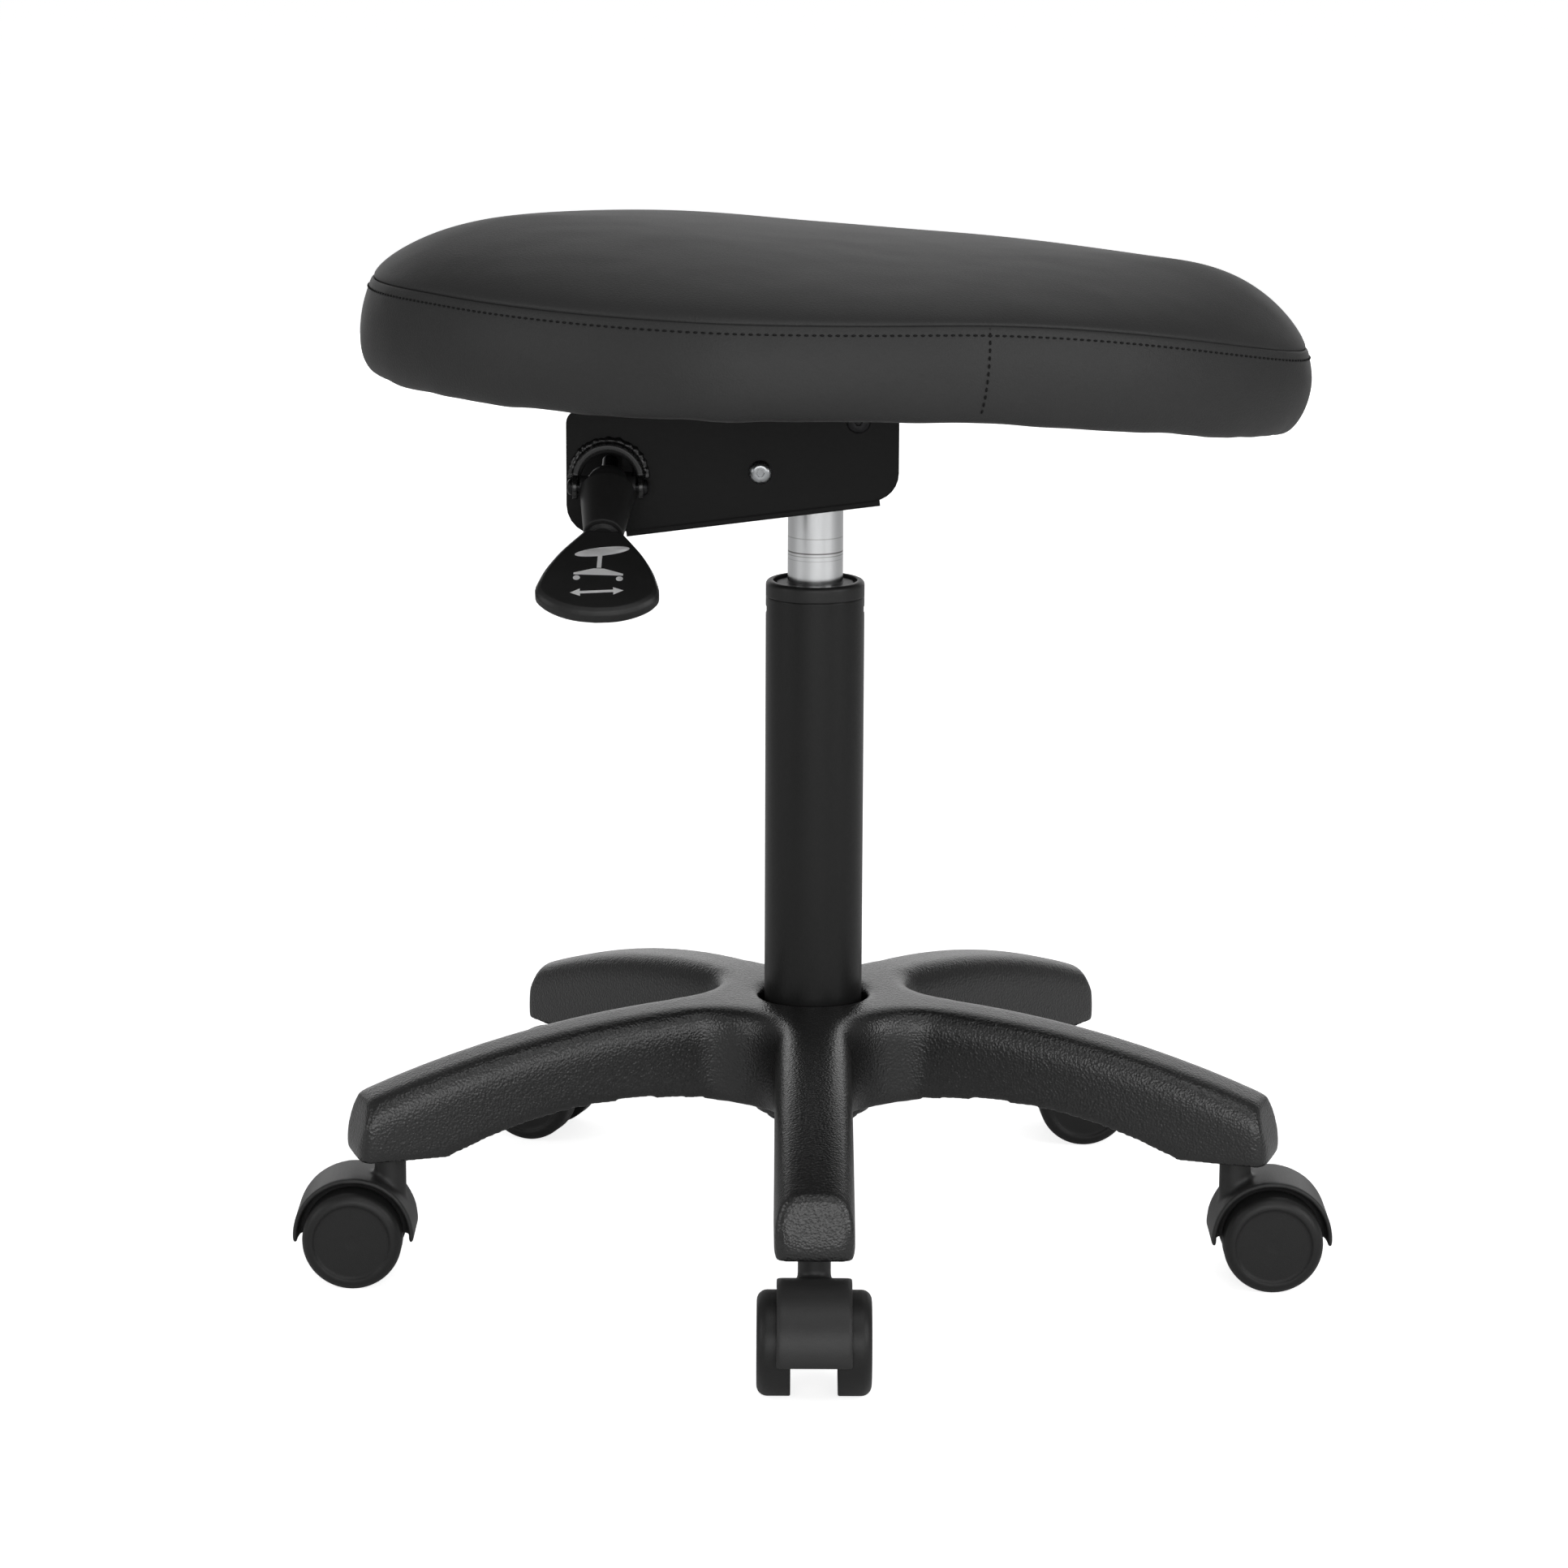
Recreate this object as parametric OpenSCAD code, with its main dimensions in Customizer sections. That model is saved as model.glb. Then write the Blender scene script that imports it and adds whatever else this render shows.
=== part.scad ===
// Saddle stool: padded seat on a tilt mechanism, gas lift column and five star base with twin wheel casters.
// X points to the narrow nose of the seat, Z points up, and the origin lies on the column axis at the floor.

/* [Casters] */
// Diameter of a wheel
wheel_d = 50; // [44:1:54]
// Width of one wheel
wheel_w = 16; // [13:0.5:18]
// Space between the two wheels of a caster
wheel_gap = 22.4; // [21:0.2:26]
// Distance from the stem axis to the axle
caster_trail = 18; // [15:0.5:21]
// Diameter of the axle
axle_d = 6; // [4:0.5:8]
// Diameter of the stem that enters the base
stem_d = 11; // [8:0.5:12]
// Length of the stem inside the base
stem_len = 28; // [20:1:30]
// Diameter of the post between the hood and the base
post_d = 16; // [14:0.5:18]
// Wall of the hood over the wheels
hood_wall = 2.4; // [1.6:0.2:3.2]
// Running space between the wheels and the hood
hood_space = 3; // [2:0.2:4]
// Width of the hood across both wheels
hood_w = 36; // [30:1:44]

/* [Base] */
// Distance from the column axis to each caster stem
stem_circle_r = 224; // [200:1:240]
// Distance from a caster stem to the end of its arm
arm_overhang = 19.5; // [17:0.5:24]
// Width of an arm at its lower edge
arm_w = 41; // [38:0.5:46]
// Width of the flat along the top of an arm
arm_flat_w = 18; // [12:0.5:22]
// Height of the rounded shoulder of an arm
shoulder_h = 15; // [10:0.5:20]
// Height of the foot pads of the arms over the floor
pad_z = 64.5; // [63:0.5:72]
// Height of the top of the hub over the floor
hub_top_z = 131; // [124:0.5:140]
// Drop of the top of an arm from the hub to its end
arm_drop = 38; // [30:0.5:42]
// Rise of the hollow arch under an arm
arch_rise = 22; // [12:0.5:26]
// Wall of the moulded base
base_wall = 3.2; // [2.4:0.2:4.5]
// Thickness of the ribs under the base
rib_t = 2.6; // [2:0.2:4]
// Number of cross ribs under an arm
cross_ribs = 4; // [2:1:6]
// Radius of the blend between two arms
hub_fillet_r = 36; // [28:1:44]

/* [Column] */
// Diameter of the outer tube
tube_d = 50; // [48:0.5:52]
// Wall of the outer tube
tube_wall = 1.5; // [1.2:0.1:2.5]
// Height of the top of the outer tube over the floor
tube_top_z = 338; // [320:1:345]
// Height of the foot of the outer tube over the floor
tube_foot_z = 66; // [62:1:68]
// Diameter of the gas cylinder
cylinder_d = 28; // [25:0.5:30]
// Height of the cap on the outer tube
cap_h = 8; // [6:0.5:10]
// Length of the guide bush inside the outer tube
bush_len = 80; // [50:1:95]
// Height of the foot of the gas cylinder over the floor
cylinder_foot_z = 110; // [100:1:120]
// Diameter of the piston rod
rod_d = 10; // [8:0.5:12]

/* [Mechanism] */
// Height of the tilt axis over the floor
pivot_z = 406; // [403:0.5:408]
// Distance of the tilt axis behind the column axis
pivot_back = 27.7; // [24:0.1:31]
// Slope of the column bracket's bottom plate, up towards the nose
mech_slope = 7.25; // [4:0.25:9]
// Width of the column bracket over its cheeks
bracket_w = 66; // [62:0.5:74]
// Thickness of the column bracket's cheeks and plate
cheek_t = 3; // [2:0.1:3.4]
// Thickness of the seat bracket's sheet
channel_t = 3; // [2:0.1:3.4]
// Distance of the brackets' rear edges behind the column axis
bracket_back = 124; // [120:0.5:130]
// Distance of the column bracket's front edge ahead of the column axis
bracket_front = 41; // [38:0.5:46]
// Depth of the cheeks under the tilt axis
cheek_below = 21.4; // [18:0.2:24]
// Space between the cheeks and the seat at rest
cheek_space = 14; // [13:0.5:18]
// Diameter of the pivot bolt
pivot_d = 8; // [6:0.5:10]

/* [Lever] */
// Slope of the lever under the horizontal
lever_slope = 31; // [24:0.5:36]
// Turn of the lever towards the rear
lever_yaw = 2; // [0:0.5:4]
// Distance of the lever behind the column axis
lever_back = 103; // [101:0.5:107]
// Length of the tapered sleeve from its pivot
sleeve_len = 36; // [30:0.5:38]
// Diameter of the sleeve at its pivot
sleeve_d = 27.5; // [24:0.5:28]
// Diameter of the sleeve at its outer end
sleeve_end_d = 19.5; // [16:0.5:21]
// Diameter of the sliding shaft
shaft_d = 8; // [6:0.5:9]
// Length of the paddle
paddle_len = 61.5; // [52:0.5:75]
// Width of the paddle
paddle_w = 60; // [48:1:70]
// Thickness of the paddle
paddle_t = 9; // [7:0.5:12]

/* [Seat] */
// Height of the seat's underside over the floor at the column axis
seat_base_z = 450.1; // [447:0.1:455]
// Pitch of the seat, nose down
seat_pitch = 1.3; // [0:0.1:2]
// Width of the seat at the seam
seat_w = 344; // [300:2:380]
// Distance of the widest place behind the column axis
seat_widest_back = 36; // [20:1:50]
// Length of the seat from its widest place to the rear seam
seat_rear_reach = 186; // [170:1:200]
// Length of the seat from its widest place to the nose seam
seat_nose_reach = 277; // [250:1:300]
// Height of the side band
band_h = 46.5; // [38:0.5:54]
// Bulge of the side band
band_bulge = 6.5; // [3:0.5:9]
// Height of the crown over the seam at the column axis
crown_h = 24.9; // [16:0.5:34]
// Drop of the nose under the flat of the seat
nose_drop = 25.5; // [10:0.5:32]
// Thickness of the covering
cover_t = 1.2; // [0.8:0.1:2]
// Thickness of the seat board
board_t = 12; // [9:0.5:15]

/* [Hidden] */
$fn = 96;

// Clearances and the overrun that all cuts share
run_fit = 0.05;
seat_fit = 0.02;
soft_gap = 0.2;
cut = 5;
corner_steps = 6;

// Arms of the base and the way each caster trails
arm_count = 5;
arm_step = 360 / arm_count;
arm_angles = [for (i = [0 : arm_count - 1]) i * arm_step - 90];
trail_angles = [-90, 0, 4, 160, 180];

// Caster sizes that follow from the driving ones
wheel_r = wheel_d / 2;
hood_in_r = wheel_r + hood_space;
hood_out_r = hood_in_r + hood_wall;
post_gap = 0.3;
post_top_z = pad_z - post_gap;
hood_reach = 96;
web_clear = 1;
web_w = wheel_gap - 2 * web_clear;
boss_ring = 6;
boss_r = axle_d / 2 + boss_ring;
axle_short = 2.2;
axle_len = wheel_gap + 2 * (wheel_w - axle_short);
wheel_hub_step = 1;
stem_bore_over = 2;
tyre_shoulder = 5;
wheel_side_gap = 0.5;
wheel_recess = 8;
wheel_rim = 5;
wheel_dish = 1.2;
groove_w = 3;
groove_depth = 0.8;
stem_foot = 12;
stem_chamfer = 1;

// Base sizes that follow from the driving ones
arm_end_r = stem_circle_r + arm_overhang;
arm_crest_r = 40;
arm_start_r = 36;
arm_steps = 4;
arm_span = arm_end_r - arm_crest_r;
arm_arc_r = (arm_span * arm_span + arm_drop * arm_drop) / (2 * arm_drop);
arm_draft = 1.5;
arm_depth = 78;
tip_corner_r = 10;
tip_lean = 15;
tip_lean_z = 72;
arch_apex_r = 100;
pad_run = 26;
pad_start_r = stem_circle_r - pad_run;
arch_run = pad_start_r - arch_apex_r;
arch_r = (arch_run * arch_run + arch_rise * arch_rise) / (2 * arch_rise);
hub_skin = 0.08;
core_r = 6.8;
core_wall = 4.2;
sleeve_wall = 6;
hub_foot_z = 70;
hub_rim_gap = 2.85;
hub_rim_d = tube_d + 2 * hub_rim_gap;
hub_rim_depth = 13;
hub_inset = 1;
sweep_over = 2;
taper_loss = 1.3;
boss_wall = 4.5;
first_rib_r = 78;
last_rib_r = 186;

// Column sizes that follow from the driving ones
tube_in_d = tube_d - 2 * tube_wall;
cap_edge_r = 2.2;
cap_groove_w = 2;
cap_groove_depth = 2.5;
cap_lip = 1.4;
window_w = 9;
window_h = 4;
window_below = 5;
snap_depth = 1;
plate_t = 4;
bearing_t = 6;
bearing_d = 24;
clip_t = 1.2;
clip_d = 18;
rod_tail = 6;
rod_in_cylinder = 152;
rod_head_z = cylinder_foot_z + rod_in_cylinder;
piston_h = 12;
cylinder_wall = 2;
cylinder_below = 41;
cylinder_top_z = seat_base_z - cylinder_below;
taper_h = 23;
cylinder_taper_loss = 1.6;
guide_h = 20;
valve_block_h = 30;
pin_d = 8;
pin_below = 33.4;
pin_top_z = seat_base_z - pin_below;
pin_root = 14;

// Mechanism sizes that follow from the driving ones
pivot_x = -pivot_back;
bend_r = 5;
rear_corner_r = 15;
front_corner_r = 14;
cheek_corner_r = 6;
plate_sink = 0.2;
plate_inset = 0.5;
plate_rear = 70;
plate_front = 57;
bracket_gap = 0.5;
channel_w = bracket_w - 2 * cheek_t - 2 * bracket_gap;
channel_lip = 34;
channel_tail = 50;
channel_foot = 14;
channel_foot_run = 15;
channel_nose = 65;
channel_nose_up = 13;
channel_corner_r = 8;
stop_x = 48.5;
stop_up = 25.5;
stop_d = 6;
stop_r = norm([stop_x, stop_up]);
swing_up = 6.6;
swing_down = 4.6;
socket_d = 40;
socket_lift = 18;
socket_below = 2;
spacer_wall = 2;
dust_t = 0.8;
flange_gap = 0.05;
flange_z = -dust_t - flange_gap;
mount_x = [-108, 22];
mount_y = 19;
mount_d = 6;
mount_head_d = 11;
mount_head_h = 4;
mount_grip = 10;
tnut_d = 8.5;
tnut_flange_d = 19;
tnut_flange_t = 1.5;
head_d = 12;
head_h = 4.2;
socket_key = 4;
key_depth = 2;
nut_h = 6;
nut_across = 13;

// Lever sizes that follow from the driving ones
cheek_y = bracket_w / 2;
lever_x = -lever_back;
lever_out = 8;
lever_y = -cheek_y - lever_out;
lever_below = 6.5;
lever_z = pivot_z - lever_below;
collar_space = 1.2;
collar_in_r = sleeve_d / 2 + collar_space;
collar_wall = 2.6;
collar_len = 9;
collar_lift = 3.5;
bead_r = 1.9;
ear_t = 2.4;
ear_gap = 1.4;
ear_r = 6;
ear_screw_d = 5;
ear_head_d = 8.5;
ear_head_h = 2.4;
ear_screw_bite = 6;
sleeve_start = 3.5;
sleeve_edge = 1.5;
core_d = 22;
cross_boss_d = 11;
shaft_inside = 20;
shaft_in_paddle = 24;
neck_len = 1.8;
neck_d = 11.6;
neck_over = 3;
ring_count = 2;
ring_t = 0.6;
ring_lift = 1.9;
finger_w = 10;
finger_t = 4;
finger_gap = 2;
finger_pad = 1.8;
finger_z = pin_top_z + finger_gap + finger_pad;
finger_reach = 6;
finger_root_w = 6;
finger_root_x = 6;
finger_riser_y = 16;
hole_step = 1;
cheek_hole_d = 2 * collar_in_r - 2 * hole_step;
hole_lift = 1.5;

// Paddle outline, seen square to its face, as shares of its length and half its width
paddle_shares = [
    [0, 0.3], [0.06, 0.385], [0.155, 0.52], [0.26, 0.66], [0.37, 0.78], [0.48, 0.88], [0.59, 0.95],
    [0.7, 1], [0.79, 0.97], [0.87, 0.83], [0.94, 0.6], [0.985, 0.32], [1, 0]
];
paddle_steps = 30;
paddle_edge = 3;
paddle_lift = 6;
// Its layers from the face down, as shares of its thickness and of its edge
paddle_layer_shares = [[0, 1], [0.12, 0.42], [0.32, 0], [0.7, 0], [0.9, 0.35], [1, 0.8]];

// Seat sizes that follow from the driving ones
seat_mid_x = -seat_widest_back;
plan_power_share = 1.75;
rear_dome = 90;
nose_dome = 76;
crown_power_share = 0.6;
crown_step = 80;
crown_shares = [0.95, 1.17, 1.2, 1.0, 0.88, 1.03, 1.47];
ridge_start_x = 60;
ridge_power_share = 1.9;
ridge_rear_x = -180;
ridge_rear_fall = 2.7;
ridge_rear_power_share = 2;
base_start_x = 42;
base_power_share = 1.5;
base_fall_share = 0.88;
base_rear_fall = 4.8;
base_rear_power_share = 1.35;
seat_steps = 56;
spine_share = 0.12;
crown_ring_shares = [0.12, 0.3, 0.5, 0.68, 0.82, 0.92, 0.98, 1];
flat_ring_shares = [0.12, 0.55, 1];
band_out_shares = [0, 0.5, 0.88, 1, 0.85, 0.3, -0.5, -1.7];
band_height_shares = [1, 0.87, 0.68, 0.45, 0.23, 0.08, 0.02, 0];
band_wrap = 30;
wrap_turn = 21;
seam_gap = 0.1;
board_inset = 14;
dust_inset = 24;

// Colours
NYLON = "#343434";
BLACK = "#1c1c1c";
STEEL = "#b9babb";
VINYL = "#3c3c3c";
PLASTIC = "#262626";

// Corner rounding for outlines
function unit(v) = v / norm(v);
function smooth(list, at) =
    let (
        last = len(list) - 1,
        i = max(0, min(last - 1, floor(at))),
        part = at - i,
        a = list[max(i - 1, 0)],
        b = list[i],
        c = list[i + 1],
        d = list[min(i + 2, last)]
    )
    b + part * (c - a + part * (2 * a - 5 * b + 4 * c - d + part * (3 * b - 3 * c + d - a))) / 2;
function fillet(a, b, c, r) =
    let (
        u = unit(a - b),
        w = unit(c - b),
        half = acos(u * w) / 2,
        start = b + u * r / tan(half),
        centre = b + unit(u + w) * r / sin(half),
        end = b + w * r / tan(half),
        a0 = atan2(start.y - centre.y, start.x - centre.x),
        a1 = atan2(end.y - centre.y, end.x - centre.x),
        sweep = (a1 - a0 + 540) % 360 - 180
    )
    r == 0 ? [b] : [
        for (i = [0 : corner_steps])
            centre + r * [cos(a0 + sweep * i / corner_steps), sin(a0 + sweep * i / corner_steps)]
    ];
function rounded(points, radii) = [
    for (i = [0 : len(points) - 1])
        each fillet(points[(i + len(points) - 1) % len(points)], points[i], points[(i + 1) % len(points)], radii[i])
];

// Solid through closed loops of points, either capped at both ends or joined end to start
function loop_faces(n, m, joined) = [
    for (k = [0 : m - (joined ? 1 : 2)])
        for (i = [0 : n - 1])
            let (j = (i + 1) % n, l = (k + 1) % m)
            each [[k * n + i, k * n + j, l * n + j], [k * n + i, l * n + j, l * n + i]]
];
function cap_faces(n, first) = [
    for (i = [0 : n / 2 - 1])
        let (j = n - i)
        each (
            i == 0 ? [[0, n - 1, 1]] :
            i == n / 2 - 1 ? [[i, j, i + 1]] :
            [[i, j, j - 1], [i, j - 1, i + 1]]
        )
];
module loop_solid(loops, joined = false) {
    n = len(loops[0]);
    m = len(loops);
    low = cap_faces(n);
    high = [for (f = low) [f[0], f[2], f[1]] + [1, 1, 1] * n * (m - 1)];
    polyhedron(
        points = [for (l = loops) each l],
        faces = concat(loop_faces(n, m, joined), joined ? [] : low, joined ? [] : high),
        convexity = 10
    );
}

// Frames
module at_arm(angle) rotate([0, 0, angle]) children();
module at_stem(i) rotate([0, 0, arm_angles[i]]) translate([stem_circle_r, 0, 0])
    rotate([0, 0, trail_angles[i] - arm_angles[i]]) children();
module at_axle(i) at_stem(i) translate([caster_trail, 0, wheel_r]) rotate([90, 0, 0]) children();
module at_pivot() translate([pivot_x, 0, pivot_z]) children();
module at_seat() translate([0, 0, seat_base_z]) rotate([0, seat_pitch, 0]) children();
module at_lever() translate([lever_x, lever_y, lever_z])
    rotate([90 + lever_slope, 0, 0]) rotate([0, -lever_yaw, 0]) children();
module sideways(w) rotate([90, 0, 0]) translate([0, 0, -w / 2]) linear_extrude(w) children();
module cross_pin(d, l) rotate([90, 0, 0]) cylinder(d = d, h = l, center = true);

// Base
function arm_section(half, flat, top, shoulder) =
    let (
        near = [for (k = [0 : arm_steps])
            let (a = 90 * k / arm_steps)
            [arm_arc_r - top - shoulder * (1 - cos(a)), flat + (half - arm_draft - flat) * sin(a)]]
    )
    concat(
        [[arm_arc_r - arm_depth, -half], [arm_arc_r - arm_depth, half]],
        [for (k = [arm_steps : -1 : 0]) near[k]],
        [for (k = [0 : arm_steps]) [near[k].x, -near[k].y]]
    );
module arm_bar(inset) difference() {
    half = arm_w / 2 - inset;
    start = asin(arm_span / arm_arc_r) + sweep_over;
    back = asin(arm_crest_r / arm_arc_r);
    intersection() {
        translate([arm_crest_r, 0, hub_top_z - arm_arc_r]) rotate([90, 0, 0]) rotate([0, 0, 90 - start])
            rotate_extrude(angle = start + back, $fn = 360)
                polygon(arm_section(half, arm_flat_w / 2 - inset / 2, inset, shoulder_h - inset / 2));
        linear_extrude(hub_top_z + cut) polygon(rounded(
            [
                [arm_start_r + inset, -arm_w], [arm_end_r - inset, -half],
                [arm_end_r - inset, half], [arm_start_r + inset, arm_w]
            ],
            [0, tip_corner_r, tip_corner_r, 0]
        ));
    }
    translate([arm_end_r - inset, 0, tip_lean_z]) rotate([0, -tip_lean, 0])
        translate([0, -arm_w, 0]) cube([arm_w, 2 * arm_w, arm_w]);
}
module arm_outer() difference() {
    arm_bar(0);
    translate([-cut, -arm_w, 0]) cube([arm_end_r + 2 * cut, 2 * arm_w, pad_z]);
    translate([arch_apex_r, 0, pad_z + arch_rise - arch_r]) cross_pin(2 * arch_r, 2 * arm_w);
}
module arm_ribs() {
    translate([0, -rib_t / 2, 0]) cube([stem_circle_r, rib_t, hub_top_z]);
    for (k = [0 : cross_ribs - 1])
        translate([first_rib_r + (last_rib_r - first_rib_r) * k / (cross_ribs - 1) - rib_t / 2, -arm_w, 0])
            cube([rib_t, 2 * arm_w, hub_top_z]);
    translate([stem_circle_r, 0, 0]) cylinder(d = stem_d + 2 * boss_wall, h = hub_top_z);
}
function arch_z(r) = pad_z + arch_rise - arch_r + sqrt(arch_r * arch_r - pow(r - arch_apex_r, 2));
function crest_fall(r) = r <= arm_crest_r ? 0 : arm_arc_r - sqrt(arm_arc_r * arm_arc_r - pow(r - arm_crest_r, 2));
module hub_plate() {
    half = arm_w / 2 - arm_draft - hub_inset;
    cutter_at = (half + hub_fillet_r) / sin(arm_step / 2);
    reach = (half + hub_fillet_r) / tan(arm_step / 2);
    foot = arch_z(arm_start_r) + hub_skin;
    top = hub_top_z - hub_skin;
    width = half - arm_flat_w / 2;
    radii = [for (k = [0 : arm_steps]) arm_start_r + (reach - arm_start_r) * k / arm_steps];
    difference() {
        rotate_extrude() polygon(concat(
            [[0, top], [0, foot]],
            [for (r = radii) [r, arch_z(r) + hub_skin]],
            [for (k = [arm_steps : -1 : 0]) [radii[k], top - crest_fall(radii[k])]]
        ));
        for (i = [0 : arm_count - 1]) rotate([0, 0, arm_angles[i] + arm_step / 2]) {
            translate([cutter_at, 0, 0]) rotate_extrude() polygon(concat(
                [[0, 0], [hub_fillet_r, 0]],
                [for (k = [0 : arm_steps])
                    let (a = 90 * k / arm_steps)
                    [hub_fillet_r + width * (1 - cos(a)), top - shoulder_h * (1 - sin(a))]],
                [[hub_fillet_r + width, top + cut], [0, top + cut]]
            ));
            translate([cutter_at - hub_fillet_r - core_wall - core_r, 0, foot - cut])
                cylinder(r = core_r, h = top - shoulder_h - foot + cut);
        }
    }
}
module star_base() color(NYLON) difference() {
    union() {
        for (a = arm_angles) at_arm(a) arm_outer();
        hub_plate();
        translate([0, 0, hub_foot_z]) cylinder(d = tube_d + 2 * sleeve_wall, h = hub_top_z - hub_foot_z - base_wall);
    }
    for (a = arm_angles) at_arm(a) difference() {
        arm_bar(base_wall);
        arm_ribs();
    }
    translate([0, 0, hub_top_z - hub_rim_depth]) cylinder(d = hub_rim_d, h = hub_rim_depth + cut);
    hub_taper(run_fit);
    for (a = arm_angles) at_arm(a) translate([stem_circle_r, 0, pad_z - cut])
        cylinder(d = stem_d + 2 * run_fit, h = stem_len + stem_bore_over + cut);
}

// Tapered foot of the column, which the hub grips
module hub_taper(gap) rotate_extrude() polygon([
    [0, hub_foot_z - cut],
    [tube_d / 2 - taper_loss + gap, hub_foot_z - cut],
    [tube_d / 2 - taper_loss + gap, hub_foot_z],
    [tube_d / 2 + gap, hub_top_z - hub_rim_depth],
    [tube_d / 2 + gap, hub_top_z - hub_rim_depth + cut],
    [0, hub_top_z - hub_rim_depth + cut]
]);

// Column
module column_tube() color(BLACK) difference() {
    rotate_extrude() polygon([
        [tube_in_d / 2 - taper_loss, tube_foot_z],
        [tube_d / 2 - taper_loss, tube_foot_z],
        [tube_d / 2 - taper_loss, hub_foot_z],
        [tube_d / 2, hub_top_z - hub_rim_depth],
        [tube_d / 2, tube_top_z],
        [tube_in_d / 2, tube_top_z],
        [tube_in_d / 2, hub_top_z - hub_rim_depth],
        [tube_in_d / 2 - taper_loss, hub_foot_z]
    ]);
    translate([-tube_d, -window_w / 2, tube_top_z - window_below - window_h]) cube([2 * tube_d, window_w, window_h]);
}
module guide_bush() color(PLASTIC) {
    in_r = cylinder_d / 2 + run_fit;
    body_r = tube_in_d / 2 - seat_fit;
    low = tube_top_z - bush_len;
    seam = tube_top_z + seam_gap;
    top = tube_top_z + cap_h;
    edge = [for (k = [0 : corner_steps])
        let (a = 90 * k / corner_steps)
        [tube_d / 2 - cap_edge_r * (1 - cos(a)), top - cap_edge_r * (1 - sin(a))]];
    rotate_extrude() polygon(concat(
        [[in_r, low], [body_r, low], [body_r, seam], [tube_d / 2, seam]],
        edge,
        [
            [tube_d / 2 - cap_edge_r - cap_lip, top],
            [tube_d / 2 - cap_edge_r - cap_lip, top - cap_groove_depth],
            [tube_d / 2 - cap_edge_r - cap_lip - cap_groove_w, top - cap_groove_depth],
            [tube_d / 2 - cap_edge_r - cap_lip - cap_groove_w, top - cap_lip],
            [in_r, top - cap_lip]
        ]
    ));
    intersection() {
        difference() {
            cylinder(r = body_r + snap_depth, h = tube_top_z);
            cylinder(r = body_r - snap_depth, h = tube_top_z);
        }
        translate([-tube_d, -window_w / 2 + soft_gap, tube_top_z - window_below - window_h + soft_gap])
            cube([2 * tube_d, window_w - 2 * soft_gap, window_h - 2 * soft_gap]);
    }
}
module tube_end_plate() color(STEEL) translate([0, 0, tube_foot_z + rod_tail]) difference() {
    cylinder(d = tube_in_d - 2 * taper_loss - 2 * seat_fit, h = plate_t);
    translate([0, 0, -cut]) cylinder(d = rod_d + 2 * run_fit, h = plate_t + 2 * cut);
}

// Gas lift
plate_top_z = tube_foot_z + rod_tail + plate_t;
module piston_rod() color(STEEL) translate([0, 0, tube_foot_z + clip_t])
    cylinder(d = rod_d, h = rod_head_z - tube_foot_z - clip_t);
module piston() color(STEEL) translate([0, 0, rod_head_z - piston_h]) difference() {
    cylinder(d = cylinder_d - 2 * cylinder_wall - 2 * run_fit, h = piston_h);
    translate([0, 0, -cut]) cylinder(d = rod_d + 2 * seat_fit, h = piston_h + 2 * cut);
}
module thrust_bearing() color(STEEL) translate([0, 0, plate_top_z + seam_gap]) difference() {
    cylinder(d = bearing_d, h = bearing_t);
    translate([0, 0, -cut]) cylinder(d = rod_d + 2 * seat_fit, h = bearing_t + 2 * cut);
}
module rod_clip() color(STEEL) translate([0, 0, tube_foot_z + rod_tail - clip_t - seam_gap]) difference() {
    cylinder(d = clip_d, h = clip_t);
    translate([0, 0, -cut]) cylinder(d = rod_d + 2 * seat_fit, h = clip_t + 2 * cut);
    translate([0, -rod_d / 4, -cut]) cube([clip_d, rod_d / 2, clip_t + 2 * cut]);
}
module gas_cylinder() color(STEEL) difference() {
    union() {
        translate([0, 0, cylinder_foot_z])
            cylinder(d = cylinder_d, h = cylinder_top_z - taper_h - cylinder_foot_z);
        translate([0, 0, cylinder_top_z - taper_h])
            cylinder(d1 = cylinder_d, d2 = cylinder_d - cylinder_taper_loss, h = taper_h);
    }
    translate([0, 0, cylinder_foot_z - cut]) cylinder(
        d = cylinder_d - 2 * cylinder_wall, h = cylinder_top_z - valve_block_h - cylinder_foot_z + cut);
    translate([0, 0, cylinder_top_z - valve_block_h - cut])
        cylinder(d = pin_d + 2 * run_fit, h = valve_block_h + 2 * cut);
}
module rod_guide() color(BLACK) translate([0, 0, cylinder_foot_z]) difference() {
    cylinder(d = cylinder_d - 2 * cylinder_wall - 2 * seat_fit, h = guide_h);
    translate([0, 0, -cut]) cylinder(d = rod_d + 2 * run_fit, h = guide_h + 2 * cut);
}
module valve_pin() color(STEEL) translate([0, 0, cylinder_top_z - pin_root])
    cylinder(d = pin_d, h = pin_top_z - cylinder_top_z + pin_root);

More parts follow.
